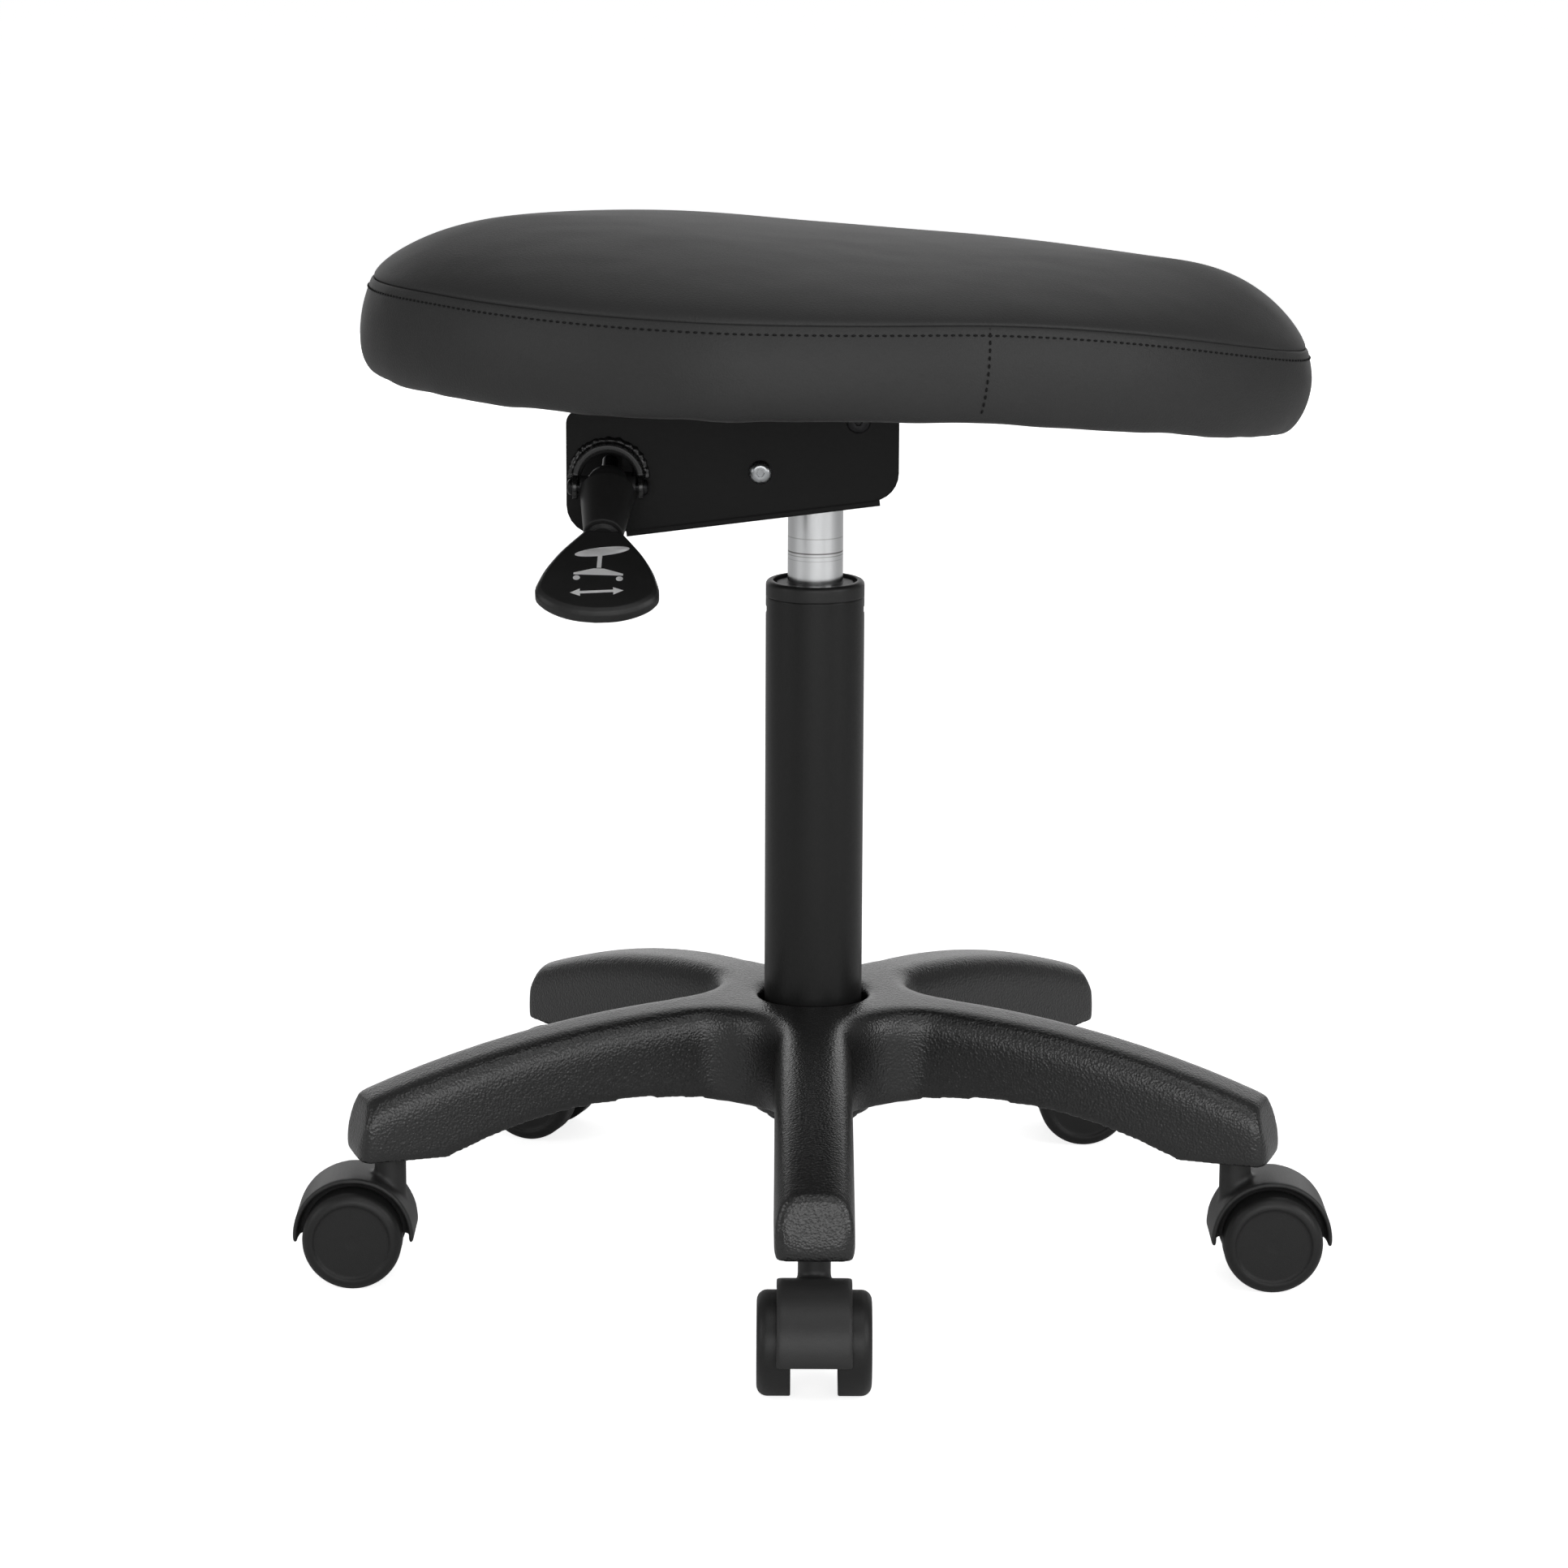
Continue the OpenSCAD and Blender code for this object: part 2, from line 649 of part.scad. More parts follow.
// Column bracket: two cheeks on a sloping plate that the taper of the gas cylinder holds
function slope_z(x) = pivot_z - cheek_below / cos(mech_slope) + (x - pivot_x) * tan(mech_slope);
module at_plate() at_pivot() rotate([0, -mech_slope, 0]) translate([0, 0, plate_sink - cheek_below]) children();
module at_stop() at_pivot() translate([stop_x, 0, stop_up]) children();
module lower_bracket() color(BLACK) difference() {
    union() {
        for (s = [-1, 1]) translate([0, s * (cheek_y - cheek_t / 2), 0]) sideways(cheek_t) polygon(rounded(
            [
                [-bracket_back, slope_z(-bracket_back)], [bracket_front, slope_z(bracket_front)],
                [bracket_front, seat_base_z - cheek_space], [-bracket_back, seat_base_z - cheek_space]
            ],
            [rear_corner_r, front_corner_r, cheek_corner_r, cheek_corner_r]
        ));
        at_plate() translate([-plate_rear, plate_inset - cheek_y, -cheek_t])
            cube([plate_rear + plate_front, bracket_w - 2 * plate_inset, cheek_t]);
    }
    at_pivot() cross_pin(pivot_d + 2 * seat_fit, 2 * bracket_w);
    at_stop() cross_pin(stop_d + 2 * seat_fit, 2 * bracket_w);
    translate([lever_x, cut - cheek_y, lever_z + hole_lift]) rotate([90, 0, 0])
        cylinder(d = cheek_hole_d, h = 2 * cut);
    translate([0, 0, slope_z(0) - 2 * cut]) cylinder(d = cylinder_d + 2 * soft_gap, h = 3 * cut);
}
module taper_socket() color(BLACK) {
    top = cylinder_top_z - socket_below;
    difference() {
        translate([0, 0, top - socket_lift - cut]) cylinder(d = socket_d, h = socket_lift + cut);
        at_plate() translate([-plate_rear, -bracket_w, seat_fit - bracket_w])
            cube([plate_rear + plate_front, 2 * bracket_w, bracket_w]);
        translate([0, 0, cylinder_top_z - taper_h]) cylinder(
            d1 = cylinder_d + 2 * run_fit, d2 = cylinder_d - cylinder_taper_loss + 2 * run_fit, h = taper_h);
    }
}
module pivot_spacer() color(STEEL) at_pivot() difference() {
    cross_pin(pivot_d + 2 * spacer_wall, channel_w - 2 * channel_t - 2 * soft_gap);
    cross_pin(pivot_d + 2 * run_fit, channel_w);
}

// Seat bracket: a folded sheet that hangs from the seat between the cheeks and swings on the pivot bolt
module stop_slot() at_pivot() rotate([90, 0, 0]) translate([0, 0, -channel_w])
    rotate([0, 0, atan2(stop_up, stop_x) - swing_down]) {
        rotate_extrude(angle = swing_up + swing_down) translate([stop_r - stop_d / 2 - soft_gap, 0])
            square([stop_d + 2 * soft_gap, 2 * channel_w]);
        for (a = [0, swing_up + swing_down]) rotate([0, 0, a]) translate([stop_r, 0, 0])
            cylinder(d = stop_d + 2 * soft_gap, h = 2 * channel_w);
    }
module seat_bracket() color(BLACK) {
    half = channel_w / 2;
    low = flange_z - band_h * 2;
    difference() {
        intersection() {
            at_seat() translate([-bracket_back - cut, 0, 0]) rotate([90, 0, 90])
                linear_extrude(bracket_back + bracket_front + 2 * cut) difference() {
                    polygon(rounded(
                        [[-half, flange_z], [-half, low], [half, low], [half, flange_z]],
                        [bend_r, 0, 0, bend_r]
                    ));
                    polygon(rounded(
                        [
                            [channel_t - half, flange_z - channel_t], [channel_t - half, low - cut],
                            [half - channel_t, low - cut], [half - channel_t, flange_z - channel_t]
                        ],
                        [bend_r - channel_t, 0, 0, bend_r - channel_t]
                    ));
                }
            at_pivot() sideways(2 * channel_w) polygon(rounded(
                [
                    [pivot_back - bracket_back, channel_lip],
                    [-channel_tail, channel_lip],
                    [-channel_foot_run, -channel_foot],
                    [channel_foot_run, -channel_foot],
                    [channel_nose, channel_nose_up],
                    [channel_nose, seat_base_z - pivot_z + cut],
                    [pivot_back - bracket_back, seat_base_z - pivot_z + cut]
                ],
                [cheek_corner_r, channel_corner_r, channel_corner_r, channel_corner_r, cheek_corner_r, 0, 0]
            ));
        }
        at_pivot() cross_pin(pivot_d + 2 * run_fit, 2 * channel_w);
        stop_slot();
        for (x = mount_x, y = [-1, 1]) at_seat() translate([x, y * mount_y, flange_z - channel_t - cut])
            cylinder(d = mount_d + 2 * seat_fit, h = channel_t + 2 * cut);
    }
}

// Button head screw along +Z, its head under the origin, and the nut for its far end
module button_screw(d, l, hd, hh) {
    cylinder(d = d, h = l);
    difference() {
        rotate_extrude() polygon(concat(
            [[0, -hh], [hd / 4, -hh]],
            [for (k = [0 : corner_steps])
                let (a = 90 * k / corner_steps)
                [hd / 4 + hd / 4 * sin(a), -hh * cos(a)]],
            [[0, 0]]
        ));
        translate([0, 0, -hh - cut]) cylinder(d = socket_key, h = key_depth + cut, $fn = 6);
    }
}
module hex_nut(d, h, across) difference() {
    cylinder(d = across / cos(30), h = h, $fn = 6);
    translate([0, 0, -cut]) cylinder(d = d, h = h + 2 * cut);
}
module pivot_bolt() color(STEEL) at_pivot() translate([0, -cheek_y - seam_gap, 0]) rotate([-90, 0, 0])
    button_screw(pivot_d, bracket_w + nut_h, head_d, head_h);
module pivot_nut() color(STEEL) at_pivot() translate([0, cheek_y + seam_gap, 0]) rotate([-90, 0, 0])
    hex_nut(pivot_d + 2 * seat_fit, nut_h, nut_across);
module stop_bolt() color(BLACK) at_stop() translate([0, -cheek_y - seam_gap, 0]) rotate([-90, 0, 0])
    button_screw(stop_d, bracket_w + nut_h, head_d, head_h / 2);
module stop_nut() color(BLACK) at_stop() translate([0, cheek_y + seam_gap, 0]) rotate([-90, 0, 0])
    hex_nut(stop_d + 2 * seat_fit, nut_h, nut_across);

// Seat fasteners
module at_mounts() at_seat() for (x = mount_x, y = [-1, 1]) translate([x, y * mount_y, 0]) children();
module seat_bolts() color(STEEL) at_mounts() translate([0, 0, flange_z - channel_t - seam_gap])
    button_screw(mount_d, mount_grip + channel_t, mount_head_d, mount_head_h);
board_low = cover_t + seam_gap;
board_top = board_low + board_t;
module seat_tnuts() color(STEEL) at_mounts() difference() {
    union() {
        translate([0, 0, board_low + seam_gap]) cylinder(d = tnut_d, h = board_t - seam_gap);
        translate([0, 0, board_top - tnut_flange_t]) cylinder(d = tnut_flange_d, h = tnut_flange_t);
    }
    translate([0, 0, -cut]) cylinder(d = mount_d + 2 * seat_fit, h = board_top + 2 * cut);
}

// Seat form: plan outline, spine, drop of the nose and crown
function power(v, p) = sign(v) * pow(abs(v), p);
function plan_point(t, inset) =
    let (
        reach = cos(t) >= 0 ? seat_nose_reach : seat_rear_reach,
        x = reach * power(cos(t), 2 / plan_power_share),
        y = seat_w / 2 * power(sin(t), 2 / plan_power_share),
        out = unit([
            power(x / reach, plan_power_share - 1) / reach,
            power(2 * y / seat_w, plan_power_share - 1) * 2 / seat_w
        ])
    )
    [seat_mid_x + x, y] - inset * out;
function spine_x(t) =
    let (
        reach = cos(t) >= 0 ? seat_nose_reach : seat_rear_reach,
        dome = cos(t) >= 0 ? nose_dome : rear_dome
    )
    seat_mid_x + (plan_point(t, 0).x - seat_mid_x) * (reach - dome) / reach;
function ring_xy(t, share, inset) =
    let (spine = [spine_x(t), 0])
    spine + share * (plan_point(t, inset) - spine);
function nose_x() = seat_mid_x + seat_nose_reach;
function rear_x() = seat_mid_x - seat_rear_reach;
function run_down(x, from, to, depth, power_share) =
    let (part = (x - from) / (to - from))
    part <= 0 ? 0 : depth * pow(part, power_share);
function ridge_fall(x) =
    run_down(x, ridge_start_x, nose_x(), nose_drop, ridge_power_share)
    + run_down(x, ridge_rear_x, rear_x(), ridge_rear_fall, ridge_rear_power_share);
function board_fall(x) = run_down(x, base_start_x, nose_x(), base_fall_share * nose_drop, base_power_share);
function base_fall(x) = board_fall(x) + run_down(x, 0, rear_x(), base_rear_fall, base_rear_power_share);
function crown(x) = crown_h * smooth(crown_shares, x / crown_step + (len(crown_shares) - 1) / 2);
function crown_point(t, share, inset) =
    let (p = ring_xy(t, share, inset))
    [p.x, p.y, band_h - ridge_fall(p.x) + crown(p.x) * pow(1 - share * share, crown_power_share) - inset];
function flat_point(t, share, inset, z) =
    let (p = ring_xy(t, share, inset))
    [p.x, p.y, z - board_fall(p.x)];
function band_point(t, k, inset) =
    let (
        p = plan_point(t, inset - band_bulge * band_out_shares[k]),
        up = band_height_shares[k],
        fall = up * ridge_fall(p.x) + (1 - up) * base_fall(p.x)
    )
    [p.x, p.y, band_h * up + inset * (1 - 2 * up) - fall];
function turn() = [for (i = [0 : seat_steps - 1]) 360 * i / seat_steps];
function crown_loops(inset) = [
    for (s = crown_ring_shares) [for (t = turn()) crown_point(t, s, inset)]
];
function flat_loops(inset, z) = [for (s = flat_ring_shares) [for (t = turn()) flat_point(t, s, inset, z)]];
function band_loops(inset, lower) = [
    for (k = [0 : len(band_out_shares) - 1])
        [for (t = turn()) band_point(t, k, inset) - [0, 0, k == 0 ? lower : 0]]
];
function backwards(list) = [for (i = [len(list) - 1 : -1 : 0]) list[i]];

// Seat pieces
module seat_cover() color(VINYL) at_seat()
    loop_solid(concat(crown_loops(0), backwards(crown_loops(cover_t))));
module seat_band() color(VINYL) at_seat() {
    wrap_out = [for (inset = [wrap_turn, band_wrap]) [for (t = turn()) flat_point(t, 1, inset, 0)]];
    wrap_in = [for (inset = [band_wrap, wrap_turn]) [for (t = turn()) flat_point(t, 1, inset, cover_t)]];
    loop_solid(concat(
        band_loops(0, seam_gap), wrap_out, wrap_in, backwards(band_loops(cover_t, seam_gap))
    ), true);
}
module seat_foam() color("#8a8a86") at_seat() {
    skin = cover_t + soft_gap;
    edge = board_inset - soft_gap;
    loop_solid(concat(
        flat_loops(edge, board_top + soft_gap),
        [[for (t = turn()) flat_point(t, 1, edge, skin)]],
        backwards(band_loops(skin, seam_gap)),
        backwards([for (k = [0 : len(crown_ring_shares) - 2]) crown_loops(skin)[k]])
    ));
}
module seat_board() color("#b08a5a") at_seat() difference() {
    loop_solid(concat(flat_loops(board_inset, board_low), backwards(flat_loops(board_inset, board_top))));
    for (x = mount_x, y = [-1, 1]) translate([x, y * mount_y, 0]) {
        translate([0, 0, -cut]) cylinder(d = tnut_d + 2 * seat_fit, h = board_top + 2 * cut);
        translate([0, 0, board_top - tnut_flange_t - seat_fit])
            cylinder(d = tnut_flange_d + 2 * seat_fit, h = tnut_flange_t + cut);
    }
}
module dust_cover() color(BLACK) at_seat() difference() {
    loop_solid(concat(flat_loops(dust_inset, -dust_t), backwards(flat_loops(dust_inset, -flange_gap))));
    for (x = mount_x, y = [-1, 1]) translate([x, y * mount_y, -cut])
        cylinder(d = mount_d + 2 * soft_gap, h = 2 * cut);
}

// Lever collar: half ring welded to the cheek, with two ears for the pivot screws
module lever_collar() color(BLACK) {
    out_r = collar_in_r + collar_wall;
    ear_in = collar_in_r + ear_gap - ear_t / 2;
    translate([lever_x, -cheek_y - seat_fit, lever_z + collar_lift]) rotate([90, 0, 0]) {
        rotate_extrude(angle = 180) translate([collar_in_r, 0]) square([collar_wall, collar_len]);
        rotate_extrude(angle = 180) translate([out_r - bead_r / 2, 0]) difference() {
            circle(r = bead_r, $fn = 24);
            translate([-2 * bead_r, -2 * bead_r]) square([4 * bead_r, 2 * bead_r]);
        }
    }
    for (s = [-1, 1]) difference() {
        union() {
            translate([lever_x + s * (ear_in + ear_t / 2) - ear_t / 2, lever_y, lever_z]) rotate([0, 90, 0])
                cylinder(r = ear_r, h = ear_t);
            translate([lever_x + s * (ear_in + ear_t / 2) - ear_t / 2, -cheek_y - collar_len, lever_z])
                cube([ear_t, collar_len - seat_fit, collar_lift + 2 * seam_gap]);
        }
        translate([lever_x + s * ear_in - 2 * ear_t, lever_y, lever_z]) rotate([0, 90, 0])
            cylinder(d = ear_screw_d + 2 * seat_fit, h = 4 * ear_t);
        translate([lever_x - out_r - cut, -cheek_y - seat_fit, lever_z - out_r])
            cube([2 * out_r + 2 * cut, out_r, 2 * out_r]);
    }
}
module lever_screws() color(BLACK) for (s = [-1, 1])
    translate([lever_x + s * (collar_in_r + ear_gap + ear_t / 2 + seam_gap), lever_y, lever_z])
        rotate([0, -s * 90, 0])
            button_screw(ear_screw_d, ear_t + ear_gap + ear_screw_bite, ear_head_d, ear_head_h);

// Lever sleeve: a ball end between the ears that tapers to the neck, along the lever axis
module sleeve_core(gap) translate([lever_x, lever_y, lever_z]) {
    sphere(d = core_d + 2 * gap);
    rotate([0, 90, 0]) cylinder(d = cross_boss_d + 2 * gap, h = sleeve_d, center = true);
}
module lever_sleeve() color(BLACK) difference() {
    union() {
        sleeve_core(0);
        at_lever() rotate_extrude() polygon([
            [0, 0], [core_d / 2, 0], [core_d / 2, sleeve_start], [sleeve_d / 2 - sleeve_edge, sleeve_start],
            [sleeve_d / 2, sleeve_start + sleeve_edge], [sleeve_end_d / 2, sleeve_len], [0, sleeve_len]
        ]);
    }
    at_lever() translate([0, 0, -sleeve_d]) cylinder(d = shaft_d + 2 * run_fit, h = sleeve_d + sleeve_len + cut);
    translate([lever_x, lever_y, lever_z]) rotate([0, 90, 0])
        difference() {
            cylinder(d = ear_screw_d + 2 * run_fit, h = 2 * sleeve_d, center = true);
            cylinder(d = 2 * ear_screw_d, h = sleeve_d - 2 * ear_screw_bite, center = true);
        }
}

// Finger of the lever: from the side of the ball end through the cheek to a place over the valve pin
module valve_finger() color(BLACK) {
    root_x = lever_x + finger_root_x;
    difference() {
        union() {
            translate([root_x, lever_y, lever_z]) cube([finger_root_w, -lever_y - finger_riser_y, finger_t]);
            translate([root_x, -finger_riser_y - finger_t, lever_z])
                cube([finger_root_w, finger_t, finger_z + finger_t - lever_z]);
            translate([root_x, -finger_riser_y - finger_t, finger_z])
                cube([finger_w, finger_riser_y + finger_t + finger_w / 2, finger_t]);
            translate([root_x, -finger_w / 2, finger_z]) cube([finger_reach - root_x, finger_w, finger_t]);
            translate([-finger_reach, -finger_w / 2, finger_z - finger_pad])
                cube([2 * finger_reach, finger_w, finger_t + finger_pad]);
        }
        sleeve_core(seat_fit);
    }
}

// Sliding shaft with the paddle on its outer end
module lever_shaft() color(BLACK) at_lever() translate([0, 0, -shaft_inside])
    cylinder(d = shaft_d, h = shaft_inside + sleeve_len + neck_len + shaft_in_paddle);
module paddle_outline(inset) {
    half = paddle_w / 2 - inset;
    tall = paddle_len - 2 * inset;
    last = len(paddle_shares) - 1;
    side = [for (k = [0 : paddle_steps]) smooth(paddle_shares, k * last / paddle_steps)];
    polygon([
        for (k = [0 : 2 * paddle_steps])
            let (p = side[k <= paddle_steps ? k : 2 * paddle_steps - k])
            [(k <= paddle_steps ? half : -half) * p.y, inset + tall * p.x]
    ]);
}
module lever_paddle() color(PLASTIC) at_lever() translate([0, 0, sleeve_len + neck_len]) difference() {
    union() {
        rotate([90, 0, 0]) translate([0, 0, -paddle_lift]) hull()
            for (layer = paddle_layer_shares) translate([0, 0, (paddle_t - seam_gap) * layer.x])
                linear_extrude(seam_gap) paddle_outline(paddle_edge * layer.y);
        translate([0, 0, -neck_len + seam_gap]) cylinder(d = neck_d, h = neck_len + shaft_in_paddle + neck_over);
        for (k = [0 : ring_count - 1]) translate([0, 0, -neck_len + seam_gap + k * ring_t])
            cylinder(d = neck_d + 2 * ring_lift * (ring_count - k) / ring_count, h = ring_t + seam_gap);
    }
    translate([0, 0, -neck_len - cut]) cylinder(d = shaft_d + 2 * seat_fit, h = neck_len + shaft_in_paddle + cut);
}

// Casters
module caster_housing(i) color(PLASTIC) difference() {
    union() {
        at_axle(i) {
            rotate([0, 0, 90 - hood_reach]) rotate_extrude(angle = 2 * hood_reach)
                translate([hood_in_r, -hood_w / 2]) square([hood_wall, hood_w]);
            intersection() {
                translate([0, 0, -web_w / 2]) cylinder(r = hood_out_r - hood_wall / 2, h = web_w);
                translate([-hood_out_r, 0, -web_w]) cube([2 * hood_out_r, hood_out_r, 2 * web_w]);
            }
            translate([0, 0, -web_w / 2]) cylinder(r = boss_r, h = web_w);
        }
        at_stem(i) translate([0, 0, wheel_r + boss_r]) cylinder(d = post_d, h = post_top_z - wheel_r - boss_r);
    }
    at_axle(i) cylinder(d = axle_d + 2 * seat_fit, h = 2 * web_w, center = true);
    at_stem(i) translate([0, 0, pad_z - stem_foot - seam_gap]) cylinder(d = stem_d + 2 * seat_fit, h = stem_foot + cut);
}
module caster_stem(i) color(STEEL) at_stem(i) rotate_extrude() {
    low = pad_z - stem_foot;
    high = pad_z + stem_len;
    r = stem_d / 2;
    polygon([
        [0, low], [r, low], [r, high - 3 * groove_w], [r - groove_depth, high - 3 * groove_w],
        [r - groove_depth, high - 2 * groove_w], [r, high - 2 * groove_w],
        [r, high - stem_chamfer], [r - stem_chamfer, high], [0, high]
    ]);
}
module caster_axle(i) color(STEEL) at_axle(i) cylinder(d = axle_d, h = axle_len, center = true);
module caster_wheel(i, side) color(PLASTIC) at_axle(i) rotate([side > 0 ? 0 : 180, 0, 0])
    translate([0, 0, wheel_gap / 2]) rotate_extrude() {
        bore = axle_d / 2 + run_fit;
        hub = boss_r - wheel_hub_step;
        rim = wheel_r - wheel_rim;
        shoulder = [for (k = [0 : corner_steps])
            let (a = 90 * k / corner_steps)
            [wheel_r - tyre_shoulder * (1 - cos(a)), wheel_w - tyre_shoulder * (1 - sin(a))]];
        polygon(concat(
            [
                [bore, 0], [hub, 0], [hub, wheel_recess], [rim, wheel_recess], [rim, 0],
                [wheel_r - wheel_side_gap, 0], [wheel_r, wheel_side_gap]
            ],
            shoulder,
            [
                [rim - wheel_side_gap, wheel_w], [rim - wheel_dish, wheel_w - wheel_dish],
                [0, wheel_w - wheel_dish], [0, (axle_len - wheel_gap) / 2 + seam_gap],
                [bore, (axle_len - wheel_gap) / 2 + seam_gap]
            ]
        ));
    }

star_base();
column_tube();
guide_bush();
tube_end_plate();
piston_rod();
piston();
thrust_bearing();
rod_clip();
gas_cylinder();
rod_guide();
lower_bracket();
taper_socket();
pivot_spacer();
valve_pin();
seat_bracket();
pivot_bolt();
pivot_nut();
stop_bolt();
stop_nut();
seat_bolts();
seat_tnuts();
seat_board();
seat_foam();
seat_cover();
seat_band();
dust_cover();
lever_collar();
lever_screws();
lever_sleeve();
valve_finger();
lever_shaft();
lever_paddle();
caster_housing(0);  // housing_1
caster_housing(1);  // housing_2
caster_housing(2);  // housing_3
caster_housing(3);  // housing_4
caster_housing(4);  // housing_5
caster_stem(0);  // stem_1
caster_stem(1);  // stem_2
caster_stem(2);  // stem_3
caster_stem(3);  // stem_4
caster_stem(4);  // stem_5
caster_axle(0);  // axle_1
caster_axle(1);  // axle_2
caster_axle(2);  // axle_3
caster_axle(3);  // axle_4
caster_axle(4);  // axle_5
caster_wheel(0, -1);  // wheel_1_left
caster_wheel(1, -1);  // wheel_2_left
caster_wheel(2, -1);  // wheel_3_left
caster_wheel(3, -1);  // wheel_4_left
caster_wheel(4, -1);  // wheel_5_left
caster_wheel(0, 1);  // wheel_1_right
caster_wheel(1, 1);  // wheel_2_right
caster_wheel(2, 1);  // wheel_3_right
caster_wheel(3, 1);  // wheel_4_right
caster_wheel(4, 1);  // wheel_5_right
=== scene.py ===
"""Saddle stool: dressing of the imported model, laid out as an add-on and run as a script."""

import math

import bmesh
import bpy
from bpy.props import FloatProperty, FloatVectorProperty, IntProperty, PointerProperty, StringProperty
from mathutils import Matrix, Vector, noise as lumps
from mathutils.bvhtree import BVHTree


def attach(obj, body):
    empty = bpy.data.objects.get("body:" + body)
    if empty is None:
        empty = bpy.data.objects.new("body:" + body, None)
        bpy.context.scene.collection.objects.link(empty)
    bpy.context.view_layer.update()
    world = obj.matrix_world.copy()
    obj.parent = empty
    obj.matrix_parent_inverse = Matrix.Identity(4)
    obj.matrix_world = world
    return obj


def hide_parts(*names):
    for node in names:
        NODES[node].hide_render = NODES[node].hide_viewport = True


bl_info = {
    "name": "Saddle Stool",
    "version": (1, 0, 0),
    "blender": (4, 2, 0),
    "location": "View3D > Sidebar > Stool",
    "description": "Upholstery, finishes and studio for a saddle stool",
    "category": "Object",
}

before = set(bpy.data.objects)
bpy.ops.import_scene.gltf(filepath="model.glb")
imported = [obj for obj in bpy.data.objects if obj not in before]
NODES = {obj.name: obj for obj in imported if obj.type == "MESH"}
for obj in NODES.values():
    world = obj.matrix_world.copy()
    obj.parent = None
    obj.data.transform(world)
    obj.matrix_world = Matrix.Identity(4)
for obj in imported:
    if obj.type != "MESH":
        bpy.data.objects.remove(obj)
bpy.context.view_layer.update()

MM = 0.001
CASTERS = range(1, 6)

# Place and outline of the seat, in millimetres, as the model's source has them
SEAT_Z = 450.1
SEAT_PITCH = math.radians(1.3)
WIDEST_X = -36
HALF_WIDTH = 172
REAR_REACH = 186
NOSE_REACH = 277
REAR_DOME = 90
NOSE_DOME = 76
PLAN_POWER = 1.75
BAND_H = 46.5
CROWN_POWER = 0.6
CROWN_STEP = 80
CROWN_HEIGHTS = [23.7, 29.1, 29.9, 24.9, 21.9, 25.6, 36.6]

# The sewn corner of the nose: how far it stands out at the seam and draws in at its foot, in millimetres
NOSE_PUSH = 3.2
NOSE_DRAW = 6.5

# Places that are tried round the seam and along each side for the stitches
SEAM_STEPS = 1440
JOINT_STEPS = 900

# How a moulded solid is merged and its skin found and weighted; merge and lift in millimetres
MERGE = 0.005
RAY_LIFT = 0.5
UNDERSIDE = -0.75
SKIN_BLURS = 3
SKIN_GAIN = 1.5
SKIN_LOSS = 0.4
SKIN_LEAST = 0.06
EVEN_PASSES = 10

# Places of the lever and the paddle, in millimetres
LEVER_PIVOT = Vector((-103, -41, 399.5))
LEVER_SLOPE = math.radians(31)
LEVER_YAW = math.radians(2)
PADDLE_START = 37.8
PADDLE_FACE = 6
INK_LIFT = 0.03
INK_THICKNESS = 0.04

# Marks rubbed round the gas cylinder: height and half width in millimetres, and how dark each is
RUB_MARKS = ((368.7, 0.25, 0.35), (361.2, 0.35, 0.8), (359.6, 0.2, 0.5), (357.4, 0.15, 0.3))

# The photograph's lens on its sensor, in millimetres
LENS = 112.56
SENSOR = 36

# Sockets of a mix node that works on colours
MIX_LOW = 6
MIX_HIGH = 7
MIX_OUT = 2


# Colours and nodes


def linear(hex_colour, alpha=1.0):
    """A colour written as an sRGB hex value, turned to linear."""
    parts = [int(hex_colour[i : i + 2], 16) / 255 for i in (1, 3, 5)]
    parts = [c / 12.92 if c <= 0.04045 else ((c + 0.055) / 1.055) ** 2.4 for c in parts]
    return (*parts, alpha)


def per_mm(size):
    """Texture scale that gives one feature every so many millimetres on Object coordinates."""
    return 1 / (size * MM)


def add_node(tree, kind, settings=None, links=None):
    """Adds a node with its settings, and links its inputs to the outputs given."""
    node = tree.nodes.new(kind)
    for name, value in (settings or {}).items():
        if name in node.inputs:
            node.inputs[name].default_value = value
        else:
            setattr(node, name, value)
    for name, output in (links or {}).items():
        tree.links.new(output, node.inputs[name])
    return node


def new_finish(name, settings):
    """An empty material with one shader, and the link to Object coordinates that its patterns take."""
    material = bpy.data.materials.new(name)
    material.use_nodes = True
    tree = material.node_tree
    tree.nodes.clear()
    shader = add_node(tree, "ShaderNodeBsdfPrincipled", settings)
    add_node(tree, "ShaderNodeOutputMaterial", {}, {"Surface": shader.outputs["BSDF"]})
    at = {"Vector": add_node(tree, "ShaderNodeTexCoord").outputs["Object"]}
    return material, tree, shader, at


def vary(tree, shader, factor, low, high, socket="Base Color"):
    """Runs a socket of the shader between two colours or two values along a pattern."""
    if socket == "Base Color":
        mix = add_node(tree, "ShaderNodeMix", {"data_type": "RGBA"})
        mix.inputs[MIX_LOW].default_value = linear(low)
        mix.inputs[MIX_HIGH].default_value = linear(high)
        tree.links.new(factor, mix.inputs[0])
        tree.links.new(mix.outputs[MIX_OUT], shader.inputs[socket])
    else:
        span = add_node(tree, "ShaderNodeMapRange", {"To Min": low, "To Max": high}, {"Value": factor})
        tree.links.new(span.outputs["Result"], shader.inputs[socket])


